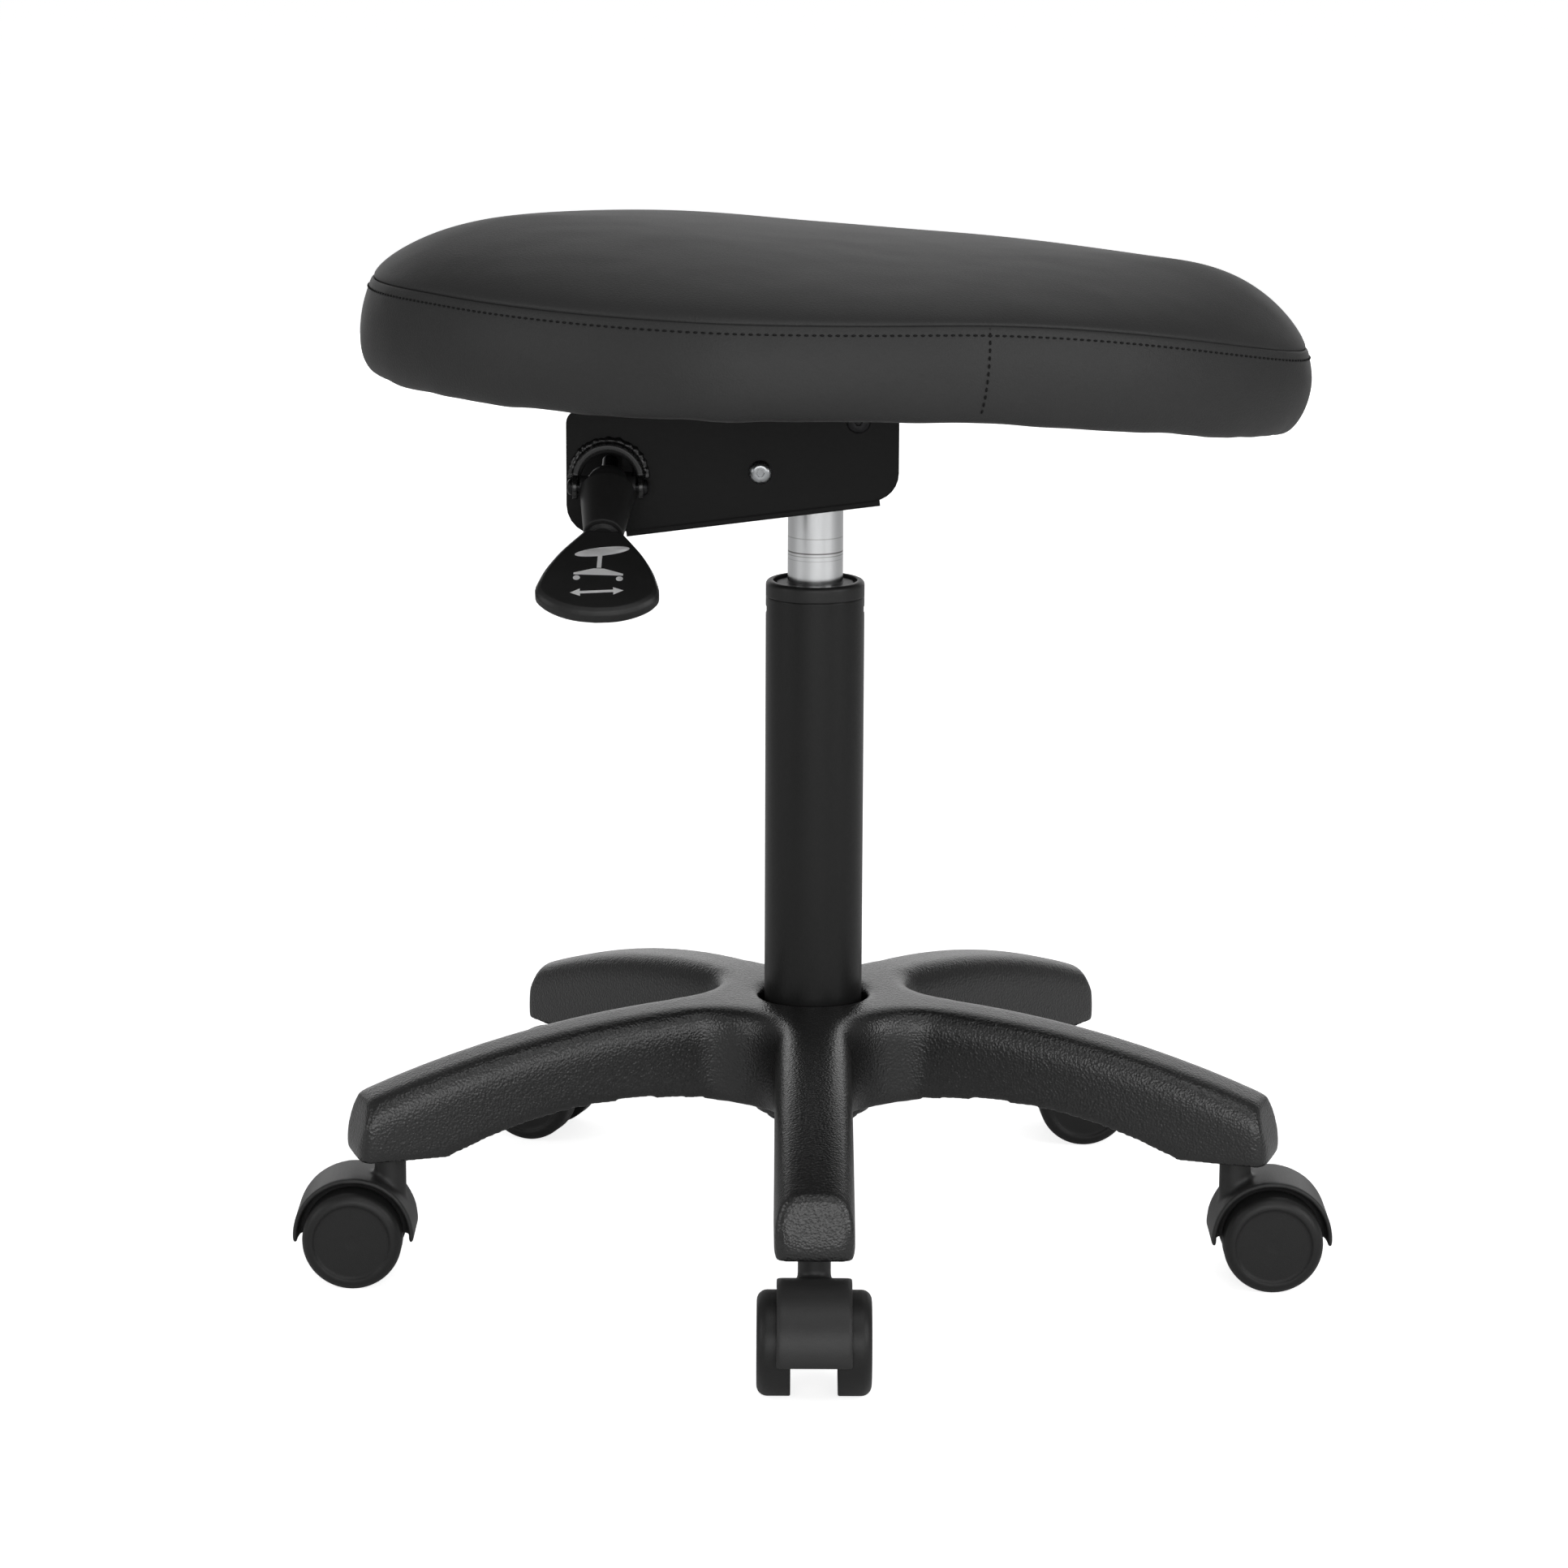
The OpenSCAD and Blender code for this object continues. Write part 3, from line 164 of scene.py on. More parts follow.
def relief(tree, shader, heights, edge=0.0):
    """Stacks reliefs, each with its height in millimetres, over softened edges."""
    normal = None
    if edge:
        normal = add_node(tree, "ShaderNodeBevel", {"samples": 6, "Radius": edge * MM}).outputs["Normal"]
    for height, depth in heights:
        bump = add_node(tree, "ShaderNodeBump", {"Distance": depth * MM, "Strength": 1.0}, {"Height": height})
        if normal:
            tree.links.new(normal, bump.inputs["Normal"])
        normal = bump.outputs["Normal"]
    tree.links.new(normal, shader.inputs["Normal"])


# Finishes


def upholstery_vinyl(colours):
    """PVC leathercloth, embossed with a fine hide grain: a soft broad sheen, darker in the folds."""
    material, tree, shader, at = new_finish(
        "upholstery_vinyl_embossed", {"Roughness": 0.5, "IOR": 1.5, "Specular IOR Level": 0.3}
    )
    broad = add_node(tree, "ShaderNodeTexNoise", {"Scale": per_mm(70), "Detail": 3}, at).outputs["Fac"]
    vary(tree, shader, broad, colours.vinyl_dark, colours.vinyl_light)
    grain = add_node(tree, "ShaderNodeTexVoronoi", {"Scale": per_mm(1.1)}, at).outputs["Distance"]
    pores = add_node(tree, "ShaderNodeTexNoise", {"Scale": per_mm(0.5)}, at).outputs["Fac"]
    wave = add_node(tree, "ShaderNodeTexNoise", {"Scale": per_mm(38), "Detail": 1}, at).outputs["Fac"]
    vary(tree, shader, pores, 0.44, 0.58, "Roughness")
    relief(tree, shader, [(wave, 1.1), (grain, 0.08), (pores, 0.07)])
    return material


def thread():
    """Bonded nylon thread, twisted: near black with a dull shine."""
    material, tree, shader, at = new_finish(
        "nylon_thread_twisted", {"Roughness": 0.6, "IOR": 1.53, "Specular IOR Level": 0.2}
    )
    strand = add_node(tree, "ShaderNodeTexNoise", {"Scale": per_mm(0.4), "Detail": 1}, at).outputs["Fac"]
    vary(tree, shader, strand, "#040404", "#0b0b0b")
    relief(tree, shader, [(strand, 0.08)])
    return material


def base_nylon(colours):
    """Glass-filled nylon from a spark-eroded tool: a coarse leather grain that glints on the shoulders."""
    material, tree, shader, at = new_finish(
        "glass_filled_nylon_moulded", {"Roughness": 0.34, "IOR": 1.53, "Specular IOR Level": 0.6}
    )
    broad = add_node(tree, "ShaderNodeTexNoise", {"Scale": per_mm(45)}, at).outputs["Fac"]
    vary(tree, shader, broad, colours.nylon_dark, colours.nylon_light)
    grain = add_node(tree, "ShaderNodeTexVoronoi", {"Scale": per_mm(1.3)}, at).outputs["Distance"]
    specks = add_node(tree, "ShaderNodeTexNoise", {"Scale": per_mm(1.0)}, at).outputs["Fac"]
    vary(tree, shader, specks, 0.22, 0.4, "Roughness")
    relief(tree, shader, [(grain, 0.2), (specks, 0.16)])
    return material


def caster_nylon(name, low, high):
    """Nylon of wheels and hoods, injection moulded with a fine texture: smoother than the base."""
    material, tree, shader, at = new_finish(
        name, {"Roughness": 0.42, "IOR": 1.53, "Specular IOR Level": 0.36}
    )
    lumpy = {"Scale": per_mm(9), "Detail": 4, "Roughness": 0.6}
    scuffs = add_node(tree, "ShaderNodeTexNoise", lumpy, at).outputs["Fac"]
    vary(tree, shader, scuffs, low, high)
    grit = add_node(tree, "ShaderNodeTexNoise", {"Scale": per_mm(0.6)}, at).outputs["Fac"]
    vary(tree, shader, grit, 0.38, 0.52, "Roughness")
    relief(tree, shader, [(grit, 0.05)], 2.2)
    return material


def lever_plastic():
    """Acetal, moulded in a finely etched tool: a silky black that greys along its edges."""
    material, tree, shader, at = new_finish(
        "lever_acetal_moulded", {"Roughness": 0.38, "IOR": 1.48, "Specular IOR Level": 0.4}
    )
    lumpy = {"Scale": per_mm(14), "Detail": 3, "Roughness": 0.6}
    rub = add_node(tree, "ShaderNodeTexNoise", lumpy, at).outputs["Fac"]
    vary(tree, shader, rub, "#181818", "#202020")
    grit = add_node(tree, "ShaderNodeTexNoise", {"Scale": per_mm(0.5)}, at).outputs["Fac"]
    vary(tree, shader, grit, 0.34, 0.5, "Roughness")
    relief(tree, shader, [(grit, 0.035)], 1.4)
    return material


def powder_coat(name, low, high, rough, shine):
    """Powder coat on steel: satin black with a faint orange peel and specks of dust."""
    material, tree, shader, at = new_finish(
        name, {"Roughness": rough, "IOR": 1.5, "Specular IOR Level": shine}
    )
    cloud = add_node(tree, "ShaderNodeTexNoise", {"Scale": per_mm(30), "Detail": 3}, at).outputs["Fac"]
    vary(tree, shader, cloud, low, high)
    peel = add_node(tree, "ShaderNodeTexNoise", {"Scale": per_mm(1.4)}, at).outputs["Fac"]
    vary(tree, shader, peel, rough - 0.05, rough + 0.07, "Roughness")
    relief(tree, shader, [(peel, 0.03)], 1.3)
    return material


def ground_steel():
    """Precision ground rod steel: fine turned lines, bright, with the marks the bush has rubbed round it."""
    material, tree, shader, at = new_finish(
        "rod_steel_ground", {"Metallic": 1.0, "Roughness": 0.26, "Anisotropic": 0.35}
    )
    split = add_node(tree, "ShaderNodeSeparateXYZ", {}, at)
    stretch = add_node(tree, "ShaderNodeMapping", {"Scale": (0.02, 0.02, 1.0)}, at)
    along = {"Vector": stretch.outputs["Vector"]}
    lines = add_node(tree, "ShaderNodeTexNoise", {"Scale": per_mm(0.35), "Detail": 3}, along).outputs["Fac"]
    marks = None
    for height, width, depth in RUB_MARKS:
        near = add_node(tree, "ShaderNodeMath", {"operation": "COMPARE"})
        near.inputs[1].default_value = height * MM
        near.inputs[2].default_value = width * MM
        tree.links.new(split.outputs["Z"], near.inputs[0])
        scaled = add_node(tree, "ShaderNodeMath", {"operation": "MULTIPLY"})
        scaled.inputs[1].default_value = depth
        tree.links.new(near.outputs[0], scaled.inputs[0])
        if marks is None:
            marks = scaled.outputs[0]
        else:
            both = add_node(tree, "ShaderNodeMath", {"operation": "MAXIMUM"})
            tree.links.new(marks, both.inputs[0])
            tree.links.new(scaled.outputs[0], both.inputs[1])
            marks = both.outputs[0]
    vary(tree, shader, marks, "#e2e3e4", "#55524e")
    vary(tree, shader, lines, 0.17, 0.3, "Roughness")
    relief(tree, shader, [(lines, 0.008)], 0.4)
    return material


def zinc_steel():
    """Zinc plated steel, bright: cool grey, slightly mottled where the plating took."""
    material, tree, shader, at = new_finish("steel_zinc_plated", {"Metallic": 1.0, "Roughness": 0.28})
    mottle = add_node(tree, "ShaderNodeTexNoise", {"Scale": per_mm(3), "Detail": 3}, at).outputs["Fac"]
    vary(tree, shader, mottle, "#8f9193", "#a9abad")
    vary(tree, shader, mottle, 0.22, 0.32, "Roughness")
    grit = add_node(tree, "ShaderNodeTexNoise", {"Scale": per_mm(0.6)}, at).outputs["Fac"]
    relief(tree, shader, [(grit, 0.006)], 0.3)
    return material


def black_oxide():
    """Black oxide on turned steel: oily black with a dull metallic edge."""
    material, tree, shader, at = new_finish("steel_black_oxide", {"Metallic": 0.85, "Roughness": 0.36})
    mottle = add_node(tree, "ShaderNodeTexNoise", {"Scale": per_mm(2), "Detail": 3}, at).outputs["Fac"]
    vary(tree, shader, mottle, "#1b1b1c", "#2b2b2c")
    relief(tree, shader, [(mottle, 0.02)], 0.4)
    return material


def print_ink():
    """Pad-printed ink: an even, slightly off-white film."""
    material, tree, shader, at = new_finish("pad_print_ink", {"Roughness": 0.5, "IOR": 1.45})
    film = add_node(tree, "ShaderNodeTexNoise", {"Scale": per_mm(0.8)}, at).outputs["Fac"]
    vary(tree, shader, film, "#f4f4f4", "#fdfdfd")
    return material


def birch_plywood():
    """Rotary-cut birch plywood, sanded: pale with long soft figure."""
    material, tree, shader, at = new_finish("birch_plywood_sanded", {"Roughness": 0.62})
    stretch = add_node(tree, "ShaderNodeMapping", {"Scale": (0.12, 1.0, 1.0)}, at)
    along = {"Vector": stretch.outputs["Vector"]}
    lumpy = {"Scale": per_mm(7), "Detail": 4, "Roughness": 0.6}
    figure = add_node(tree, "ShaderNodeTexNoise", lumpy, along).outputs["Fac"]
    vary(tree, shader, figure, "#a9855a", "#cfae80")
    relief(tree, shader, [(figure, 0.1)])
    return material


def lining_cloth():
    """Spun-bonded polypropylene cloth: matt black with a fine pressed dot."""
    material, tree, shader, at = new_finish(
        "lining_cloth_spun_bonded", {"Roughness": 0.85, "Sheen Weight": 0.15}
    )
    lumpy = {"Scale": per_mm(1.6), "Detail": 4, "Roughness": 0.7}
    fibres = add_node(tree, "ShaderNodeTexNoise", lumpy, at).outputs["Fac"]
    vary(tree, shader, fibres, "#121212", "#1e1e1e")
    dots = add_node(tree, "ShaderNodeTexVoronoi", {"Scale": per_mm(1.5)}, at).outputs["Distance"]
    relief(tree, shader, [(dots, 0.12), (fibres, 0.1)])
    return material


# Meshes


def finish_piece(name, bm, body, material, smooth=True):
    """Makes a piece from a bmesh in metres, puts its finish on and hangs it on its body."""
    mesh = bpy.data.meshes.new(name)
    bmesh.ops.recalc_face_normals(bm, faces=bm.faces)
    for face in bm.faces:
        face.smooth = smooth
    bm.to_mesh(mesh)
    bm.free()
    piece = bpy.data.objects.new(name, mesh)
    bpy.context.scene.collection.objects.link(piece)
    mesh.materials.append(material)
    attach(piece, body)
    return piece


def subdivide(piece, levels):
    """Smooths a piece with subdivision, the same on screen as in the render."""
    modifier = piece.modifiers.new("smooth", "SUBSURF")
    modifier.levels = levels
    modifier.render_levels = levels


def dress(material, *nodes):
    """Gives the carried-over solids of these nodes a finish."""
    for name in nodes:
        mesh = NODES[name].data
        mesh.materials.clear()
        mesh.materials.append(material)


def moulded(node, name, body, material, voxel, passes, keep, cavity):
    """A copy of a moulded solid with the soft edges of its tool: skin rounded, cavities left crisp."""
    bm = bmesh.new()
    bm.from_mesh(NODES[node].data)
    bmesh.ops.remove_doubles(bm, verts=bm.verts, dist=MERGE * MM)
    piece = finish_piece(name, bm, body, material)
    grid = piece.modifiers.new("grid", "REMESH")
    grid.mode = "VOXEL"
    grid.voxel_size = voxel * MM
    even = piece.modifiers.new("even", "SMOOTH")
    even.factor = 0.5
    even.iterations = EVEN_PASSES
    settle(piece)

    bm = bmesh.new()
    bm.from_mesh(piece.data)
    bm.verts.ensure_lookup_table()
    tree = BVHTree.FromBMesh(bm)
    skin = []
    for vert in bm.verts:
        hit = tree.ray_cast(vert.co + vert.normal * RAY_LIFT * MM, vert.normal, cavity * MM)
        skin.append(1.0 if hit[0] is None and vert.normal.z > UNDERSIDE else 0.0)
    near = [[e.other_vert(v).index for e in v.link_edges] for v in bm.verts]
    for _ in range(SKIN_BLURS):
        skin = [(skin[i] + sum(skin[k] for k in ring)) / (1 + len(ring)) for i, ring in enumerate(near)]
    bm.free()
    group = piece.vertex_groups.new(name="skin")
    levels = {}
    for i, value in enumerate(skin):
        weight = max(SKIN_LEAST, min(1.0, SKIN_GAIN * value - SKIN_LOSS))
        levels.setdefault(round(weight, 1), []).append(i)
    for value, members in levels.items():
        group.add(members, max(SKIN_LEAST, value), "REPLACE")
    soften = piece.modifiers.new("soften", "SMOOTH")
    soften.vertex_group = "skin"
    soften.factor = 0.5
    soften.iterations = passes
    settle(piece)
    thin = piece.modifiers.new("thin", "DECIMATE")
    thin.ratio = keep
    settle(piece)
    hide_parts(node)


def settle(piece):
    """Puts the result of a piece's modifiers into its mesh and takes them off."""
    graph = bpy.context.evaluated_depsgraph_get()
    mesh = bpy.data.meshes.new_from_object(piece.evaluated_get(graph))
    mesh.name = piece.name
    old = piece.data
    piece.modifiers.clear()
    piece.vertex_groups.clear()
    piece.data = mesh
    bpy.data.meshes.remove(old)
    for face in mesh.polygons:
        face.use_smooth = True


def power(value, exponent):
    return math.copysign(abs(value) ** exponent, value)


def plan_point(turn, inset):
    """Point of the seat's outline at a turn in radians, moved in by an inset in millimetres."""
    reach = NOSE_REACH if math.cos(turn) >= 0 else REAR_REACH
    x = reach * power(math.cos(turn), 2 / PLAN_POWER)
    y = HALF_WIDTH * power(math.sin(turn), 2 / PLAN_POWER)
    out = Vector(
        (power(x / reach, PLAN_POWER - 1) / reach, power(y / HALF_WIDTH, PLAN_POWER - 1) / HALF_WIDTH)
    ).normalized()
    return Vector((WIDEST_X + x, y)) - inset * out


def spine_point(turn):
    """Point on the seat's middle line that the rings close in on."""
    nose = math.cos(turn) >= 0
    reach = NOSE_REACH if nose else REAR_REACH
    dome = NOSE_DOME if nose else REAR_DOME
    return Vector((WIDEST_X + (plan_point(turn, 0).x - WIDEST_X) * (reach - dome) / reach, 0))


def run_down(x, start, end, depth, exponent):
    """A fall that starts level at one place and reaches its depth at another."""
    part = (x - start) / (end - start)
    return 0 if part <= 0 else depth * part**exponent


def ridge_fall(x):
    """How far the seam lies below the flat of the seat."""
    nose = run_down(x, 60, WIDEST_X + NOSE_REACH, 25.5, 1.9)
    return nose + run_down(x, -180, WIDEST_X - REAR_REACH, 2.7, 2)


def board_fall(x):
    """How far the board and the lining lie below the flat of the seat."""
    return run_down(x, 42, WIDEST_X + NOSE_REACH, 22.44, 1.5)


def base_fall(x):
    """How far the lower edge of the band lies below the flat of the seat."""
    tip = run_down(x, 150, WIDEST_X + NOSE_REACH, 2.6, 1.5)
    return board_fall(x) + tip + run_down(x, 0, WIDEST_X - REAR_REACH, 4.8, 1.35)


def nose_push(turn):
    """How far the seam stands out round the nose, where the sewn corner is stiffest."""
    return NOSE_PUSH * max(0.0, math.cos(turn)) ** 4


def crown_power(x):
    """How square the padded top meets the seam: a little softer over the nose."""
    return CROWN_POWER + 0.1 * max(0.0, min(1.0, (x - 120) / 120))


def crown(x):
    """Height of the padded top over the seam: a smooth curve through the heights along the middle line."""
    last = len(CROWN_HEIGHTS) - 1
    at = x / CROWN_STEP + last / 2
    i = max(0, min(last - 1, math.floor(at)))
    part = at - i
    a, b = CROWN_HEIGHTS[max(i - 1, 0)], CROWN_HEIGHTS[i]
    c, d = CROWN_HEIGHTS[i + 1], CROWN_HEIGHTS[min(i + 2, last)]
    return b + part * (c - a + part * (2 * a - 5 * b + 4 * c - d + part * (3 * b - 3 * c + d - a))) / 2


def in_seat(x, y, z):
    """A point of the seat's own frame in millimetres, as a place in the row frame in metres."""
    point = Matrix.Rotation(SEAT_PITCH, 3, "Y") @ Vector((x, y, z))
    return (point + Vector((0, 0, SEAT_Z))) * MM


def ring_of_rings(bm, count, rings):
    """A sheet of quads: a circle of vertices is extruded ring by ring, and each ring is put in its place."""
    made = bmesh.ops.create_circle(bm, segments=count, radius=1)
    ring = made["verts"]
    ring.sort(key=lambda v: math.atan2(v.co.y, v.co.x) % math.tau)
    turns = [math.tau * i / count for i in range(count)]
    edges = list(bm.edges)
    for vert, turn in zip(ring, turns):
        vert.co = rings[0](turn)
    for place in rings[1:]:
        grown = bmesh.ops.extrude_edge_only(bm, edges=edges)["geom"]
        edges = [g for g in grown if isinstance(g, bmesh.types.BMEdge) and all(v in grown for v in g.verts)]
        fresh = [g for g in grown if isinstance(g, bmesh.types.BMVert)]
        old = {v: turn for v, turn in zip(ring, turns)}
        matched = []
        for vert in fresh:
            parent = next(e.other_vert(vert) for e in vert.link_edges if e.other_vert(vert) in old)
            matched.append((old[parent], vert))
        matched.sort(key=lambda pair: pair[0])
        ring = [vert for turn, vert in matched]
        edges = [e for e in edges if e.is_boundary]
        for vert, turn in zip(ring, turns):
            vert.co = place(turn)
    return ring


# Settings


class StoolColours(bpy.types.PropertyGroup):
    """Colours of the main finishes, as sRGB hex values."""

    vinyl_light: StringProperty(
        name="Vinyl Light",
        description="Vinyl where it is stretched",
        default="#303030",
    )
    vinyl_dark: StringProperty(
        name="Vinyl Dark",
        description="Vinyl in its darker patches",
        default="#292929",
    )
    nylon_light: StringProperty(name="Base Light", description="Lighter nylon of the base", default="#181818")
    nylon_dark: StringProperty(name="Base Dark", description="Darker nylon of the base", default="#131313")
    wheel_light: StringProperty(
        name="Wheel Light",
        description="Scuffed nylon of the wheels",
        default="#1b1b1b",
    )
    wheel_dark: StringProperty(name="Wheel Dark", description="Clean nylon of the wheels", default="#151515")
    # Painted light: the hood colours are set lighter than the wheels' nylon to make up for the shade on the
    # hoods' tops; the spread between the two colours is scuffs
    hood_scuffed_with_painted_light: StringProperty(name="Hood Light", description="Scuffed nylon of the hoods", default="#2c2c2c")
    hood_clean_with_painted_light: StringProperty(name="Hood Dark", description="Clean nylon of the hoods", default="#252525")


class StoolSeat(bpy.types.PropertyGroup):
    """Sizes of the sewing and the lining."""

    segments: IntProperty(
        name="Segments",
        description="Vertices round the outline",
        default=160,
        min=48,
        max=320,
    )
    stitch_pitch: FloatProperty(
        name="Stitch Pitch", description="Distance between stitches", default=3.7 * MM, unit="LENGTH", min=MM
    )
    stitch_length: FloatProperty(
        name="Stitch Length",
        description="Length of one stitch",
        default=2.3 * MM,
        unit="LENGTH",
        min=0.5 * MM,
    )
    thread: FloatProperty(
        name="Thread", description="Thickness of the thread", default=1.15 * MM, unit="LENGTH", min=0.2 * MM
    )
    joint_x: FloatProperty(
        name="Band Joint",
        description="Place of the upright joint in the band",
        default=79 * MM,
        unit="LENGTH",
    )
    joint_lean: FloatProperty(
        name="Band Joint Lean",
        description="How far the joint wanders back on its way down",
        default=3 * MM,
        unit="LENGTH",
    )
    staples: IntProperty(name="Staples", description="Staples round the lining", default=44, min=8, max=80)


class StoolStage(bpy.types.PropertyGroup):
    """The camera and the lamps."""

    camera_place: FloatVectorProperty(
        name="Camera Place",
        description="Where the camera stands",
        default=(-0.01534, -2.43738, 0.79586),
        subtype="TRANSLATION",
        unit="LENGTH",
    )
    pitch: FloatProperty(
        name="Camera Pitch",
        description="How far the camera looks down",
        default=math.radians(12.849),
        subtype="ANGLE",
    )
    roll: FloatProperty(
        name="Camera Roll", description="Turn of the camera round its view", default=-0.0043, subtype="ANGLE"
    )
    key_power: FloatProperty(
        name="Key Lamp",
        description="Power of the main lamp",
        default=8,
        unit="POWER",
        min=0,
    )
    fill_power: FloatProperty(
        name="Fill Lamps",
        description="Power of each side lamp",
        default=12,
        unit="POWER",
        min=0,
    )
    backdrop: FloatProperty(
        name="Backdrop",
        description="Light thrown back by the backdrop",
        default=24,
        unit="POWER",
    )
    surround: FloatProperty(name="Surround", description="Light of the room", default=0.22, min=0)


# Seat


def band_profile():
    """Outward offset and height of the band from the seam's tuck to the wrapped edge, in millimetres."""
    top = BAND_H
    return [
        (-1.3, top - 1.2),
        (-0.5, top - 0.15),
        (0.3, top + 0.15),
        (1.1, top - 0.8),
        (1.8, top - 2.4),
        (2.2, top - 3.9),
        (2.75, top - 5.2),
        (3.7, top - 8.0),
        (5.5, top - 14.5),
        (6.4, top - 22.5),
        (6.3, top - 31.0),
        (5.0, top - 37.5),
        (2.2, top - 42.8),
        (-2.6, top - 45.7),
        (-11.0, 0.1),
        (-21.0, 0.05),
        (-30.0, 0.05),
    ]


def pleat(turn, z):
    """Slack of the band near its lower edge, which wanders a little where it is pulled round the board."""
    low = max(0.0, 1 - max(z, 0) / 26)
    wander = 0.55 * math.sin(17 * turn + 0.6) + 0.4 * math.sin(29 * turn + 1.9) + 0.25 * math.sin(53 * turn)
    off = abs((turn + math.pi) % math.tau - math.pi)
    tip = math.cos(off * 1.5) ** 2 if off < math.pi / 3 else 0
    return 0.6 * low * (wander + 0.9 * tip * math.sin(71 * turn))


def band_point(turn, out, z):
    """A point of the band's outer face, with its slack and the way it draws in under the nose."""
    nose = max(0.0, math.cos(turn)) ** 6
    if out > -15:
        out += nose_push(turn) * (z / BAND_H) ** 2
        drawn = NOSE_DRAW * max(0.0, 1 - z / (0.8 * BAND_H)) ** 1.3
        belly = 0.8 * math.sin(math.pi * z / BAND_H) ** 2
        out -= nose * (drawn - belly)
    p = plan_point(turn, -out)
    slack = pleat(turn, z)
    up = z / BAND_H
    fall = board_fall(p.x) if out < -15 else up * ridge_fall(p.x) + (1 - up) * base_fall(p.x)
    return in_seat(p.x, p.y, z - fall + slack)


class STOOL_OT_seat_panel(bpy.types.Operator):
    """Padded top of the seat: one vinyl panel over the foam, tucked into the seam"""

    bl_idname = "stool.seat_panel"
    bl_label = "Seat Panel"

    def execute(self, context):
        count = context.scene.stool_seat.segments

        def ring(share, sink):
            def place(turn):
                p = spine_point(turn) + share * (plan_point(turn, -nose_push(turn)) - spine_point(turn))
                rise = crown(p.x) * max(0.0, 1 - share * share) ** crown_power(p.x)
                return in_seat(p.x, p.y, BAND_H - ridge_fall(p.x) + rise - sink)

            return place

        def tuck(inset, sink):
            def place(turn):
                p = plan_point(turn, inset - nose_push(turn))
                return in_seat(p.x, p.y, BAND_H - ridge_fall(p.x) - sink)

            return place

        steps = 22
        rings = [tuck(1.6, 1.8), tuck(1.0, 0.55)]
        rings += [ring(math.cos(math.pi / 2 * k / steps), 0) for k in range(1, steps + 1)]
        bm = bmesh.new()
        ring_of_rings(bm, count, rings)
        bmesh.ops.remove_doubles(bm, verts=bm.verts, dist=0.01 * MM)
        piece = finish_piece("seat_panel", bm, "seat", FINISHES["vinyl"])
        subdivide(piece, 1)
        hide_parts("seat_cover", "seat_foam")
        return {"FINISHED"}


class STOOL_OT_seat_band(bpy.types.Operator):
    """Side of the seat: a band of vinyl that rolls over the seam, bulges and wraps under the board"""

    bl_idname = "stool.seat_band"
    bl_label = "Seat Band"

    def execute(self, context):
        count = context.scene.stool_seat.segments
        rings = [lambda turn, o=out, z=z: band_point(turn, o, z) for out, z in band_profile()]
        bm = bmesh.new()
        ring_of_rings(bm, count, rings)
        piece = finish_piece("seat_band_side", bm, "seat", FINISHES["vinyl"])
        subdivide(piece, 2)
        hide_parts("seat_band")
        return {"FINISHED"}


class STOOL_OT_seat_stitches(bpy.types.Operator):
    """Topstitching under the seam and down the joints of the band"""

    bl_idname = "stool.seat_stitches"
    bl_label = "Seat Stitches"

    def execute(self, context):
        settings = context.scene.stool_seat
        bm = bmesh.new()

        def stitch(place, along, out):
            side = along.cross(out).normalized()
            turned = Matrix((side, out, along)).transposed().to_4x4()
            size = (settings.thread / 2, settings.thread / 2, settings.stitch_length / 2, 1)
            bmesh.ops.create_uvsphere(
                bm,
                u_segments=6,
                v_segments=4,
                radius=1,
                matrix=Matrix.Translation(place) @ turned @ Matrix.Diagonal(size),
            )

        def run(points):
            left = settings.stitch_pitch / 2
            for a, b in zip(points, points[1:]):
                step = (b[0] - a[0]).length
                while left < step:
                    share = left / step
                    place = a[0].lerp(b[0], share)
                    stitch(place, (b[0] - a[0]).normalized(), a[1].lerp(b[1], share).normalized())
                    left += settings.stitch_pitch
                left -= step

        def seat_face(turn, out, z):
            place = band_point(turn, out + 0.2, z)
            beside = band_point(turn + 0.002, out + 0.2, z) - place
            return place, beside.cross(Vector((0, 0, 1))).normalized()

        turns = [math.tau * k / SEAM_STEPS for k in range(SEAM_STEPS + 1)]
        run([seat_face(turn, 2.2, BAND_H - 3.9) for turn in turns])
        for side in (1, -1):
            turns = [side * math.radians(90) * (1 - k / JOINT_STEPS) for k in range(JOINT_STEPS)]
            joint = min(turns, key=lambda t: abs(plan_point(t, 0).x - settings.joint_x / MM))
            profile = [p for p in band_profile() if -1.5 < p[0] and 0.5 < p[1] < BAND_H - 0.5]
            fine = []
            for (o0, z0), (o1, z1) in zip(profile, profile[1:]):
                fine += [(o0 + (o1 - o0) * k / 6, z0 + (z1 - z0) * k / 6) for k in range(6)]
            lean = side * settings.joint_lean / HALF_WIDTH / MM
            run([seat_face(joint + lean * (1 - z / BAND_H), o + 0.05, z) for o, z in fine])
        finish_piece("seat_stitches", bm, "seat", FINISHES["thread"])
        return {"FINISHED"}


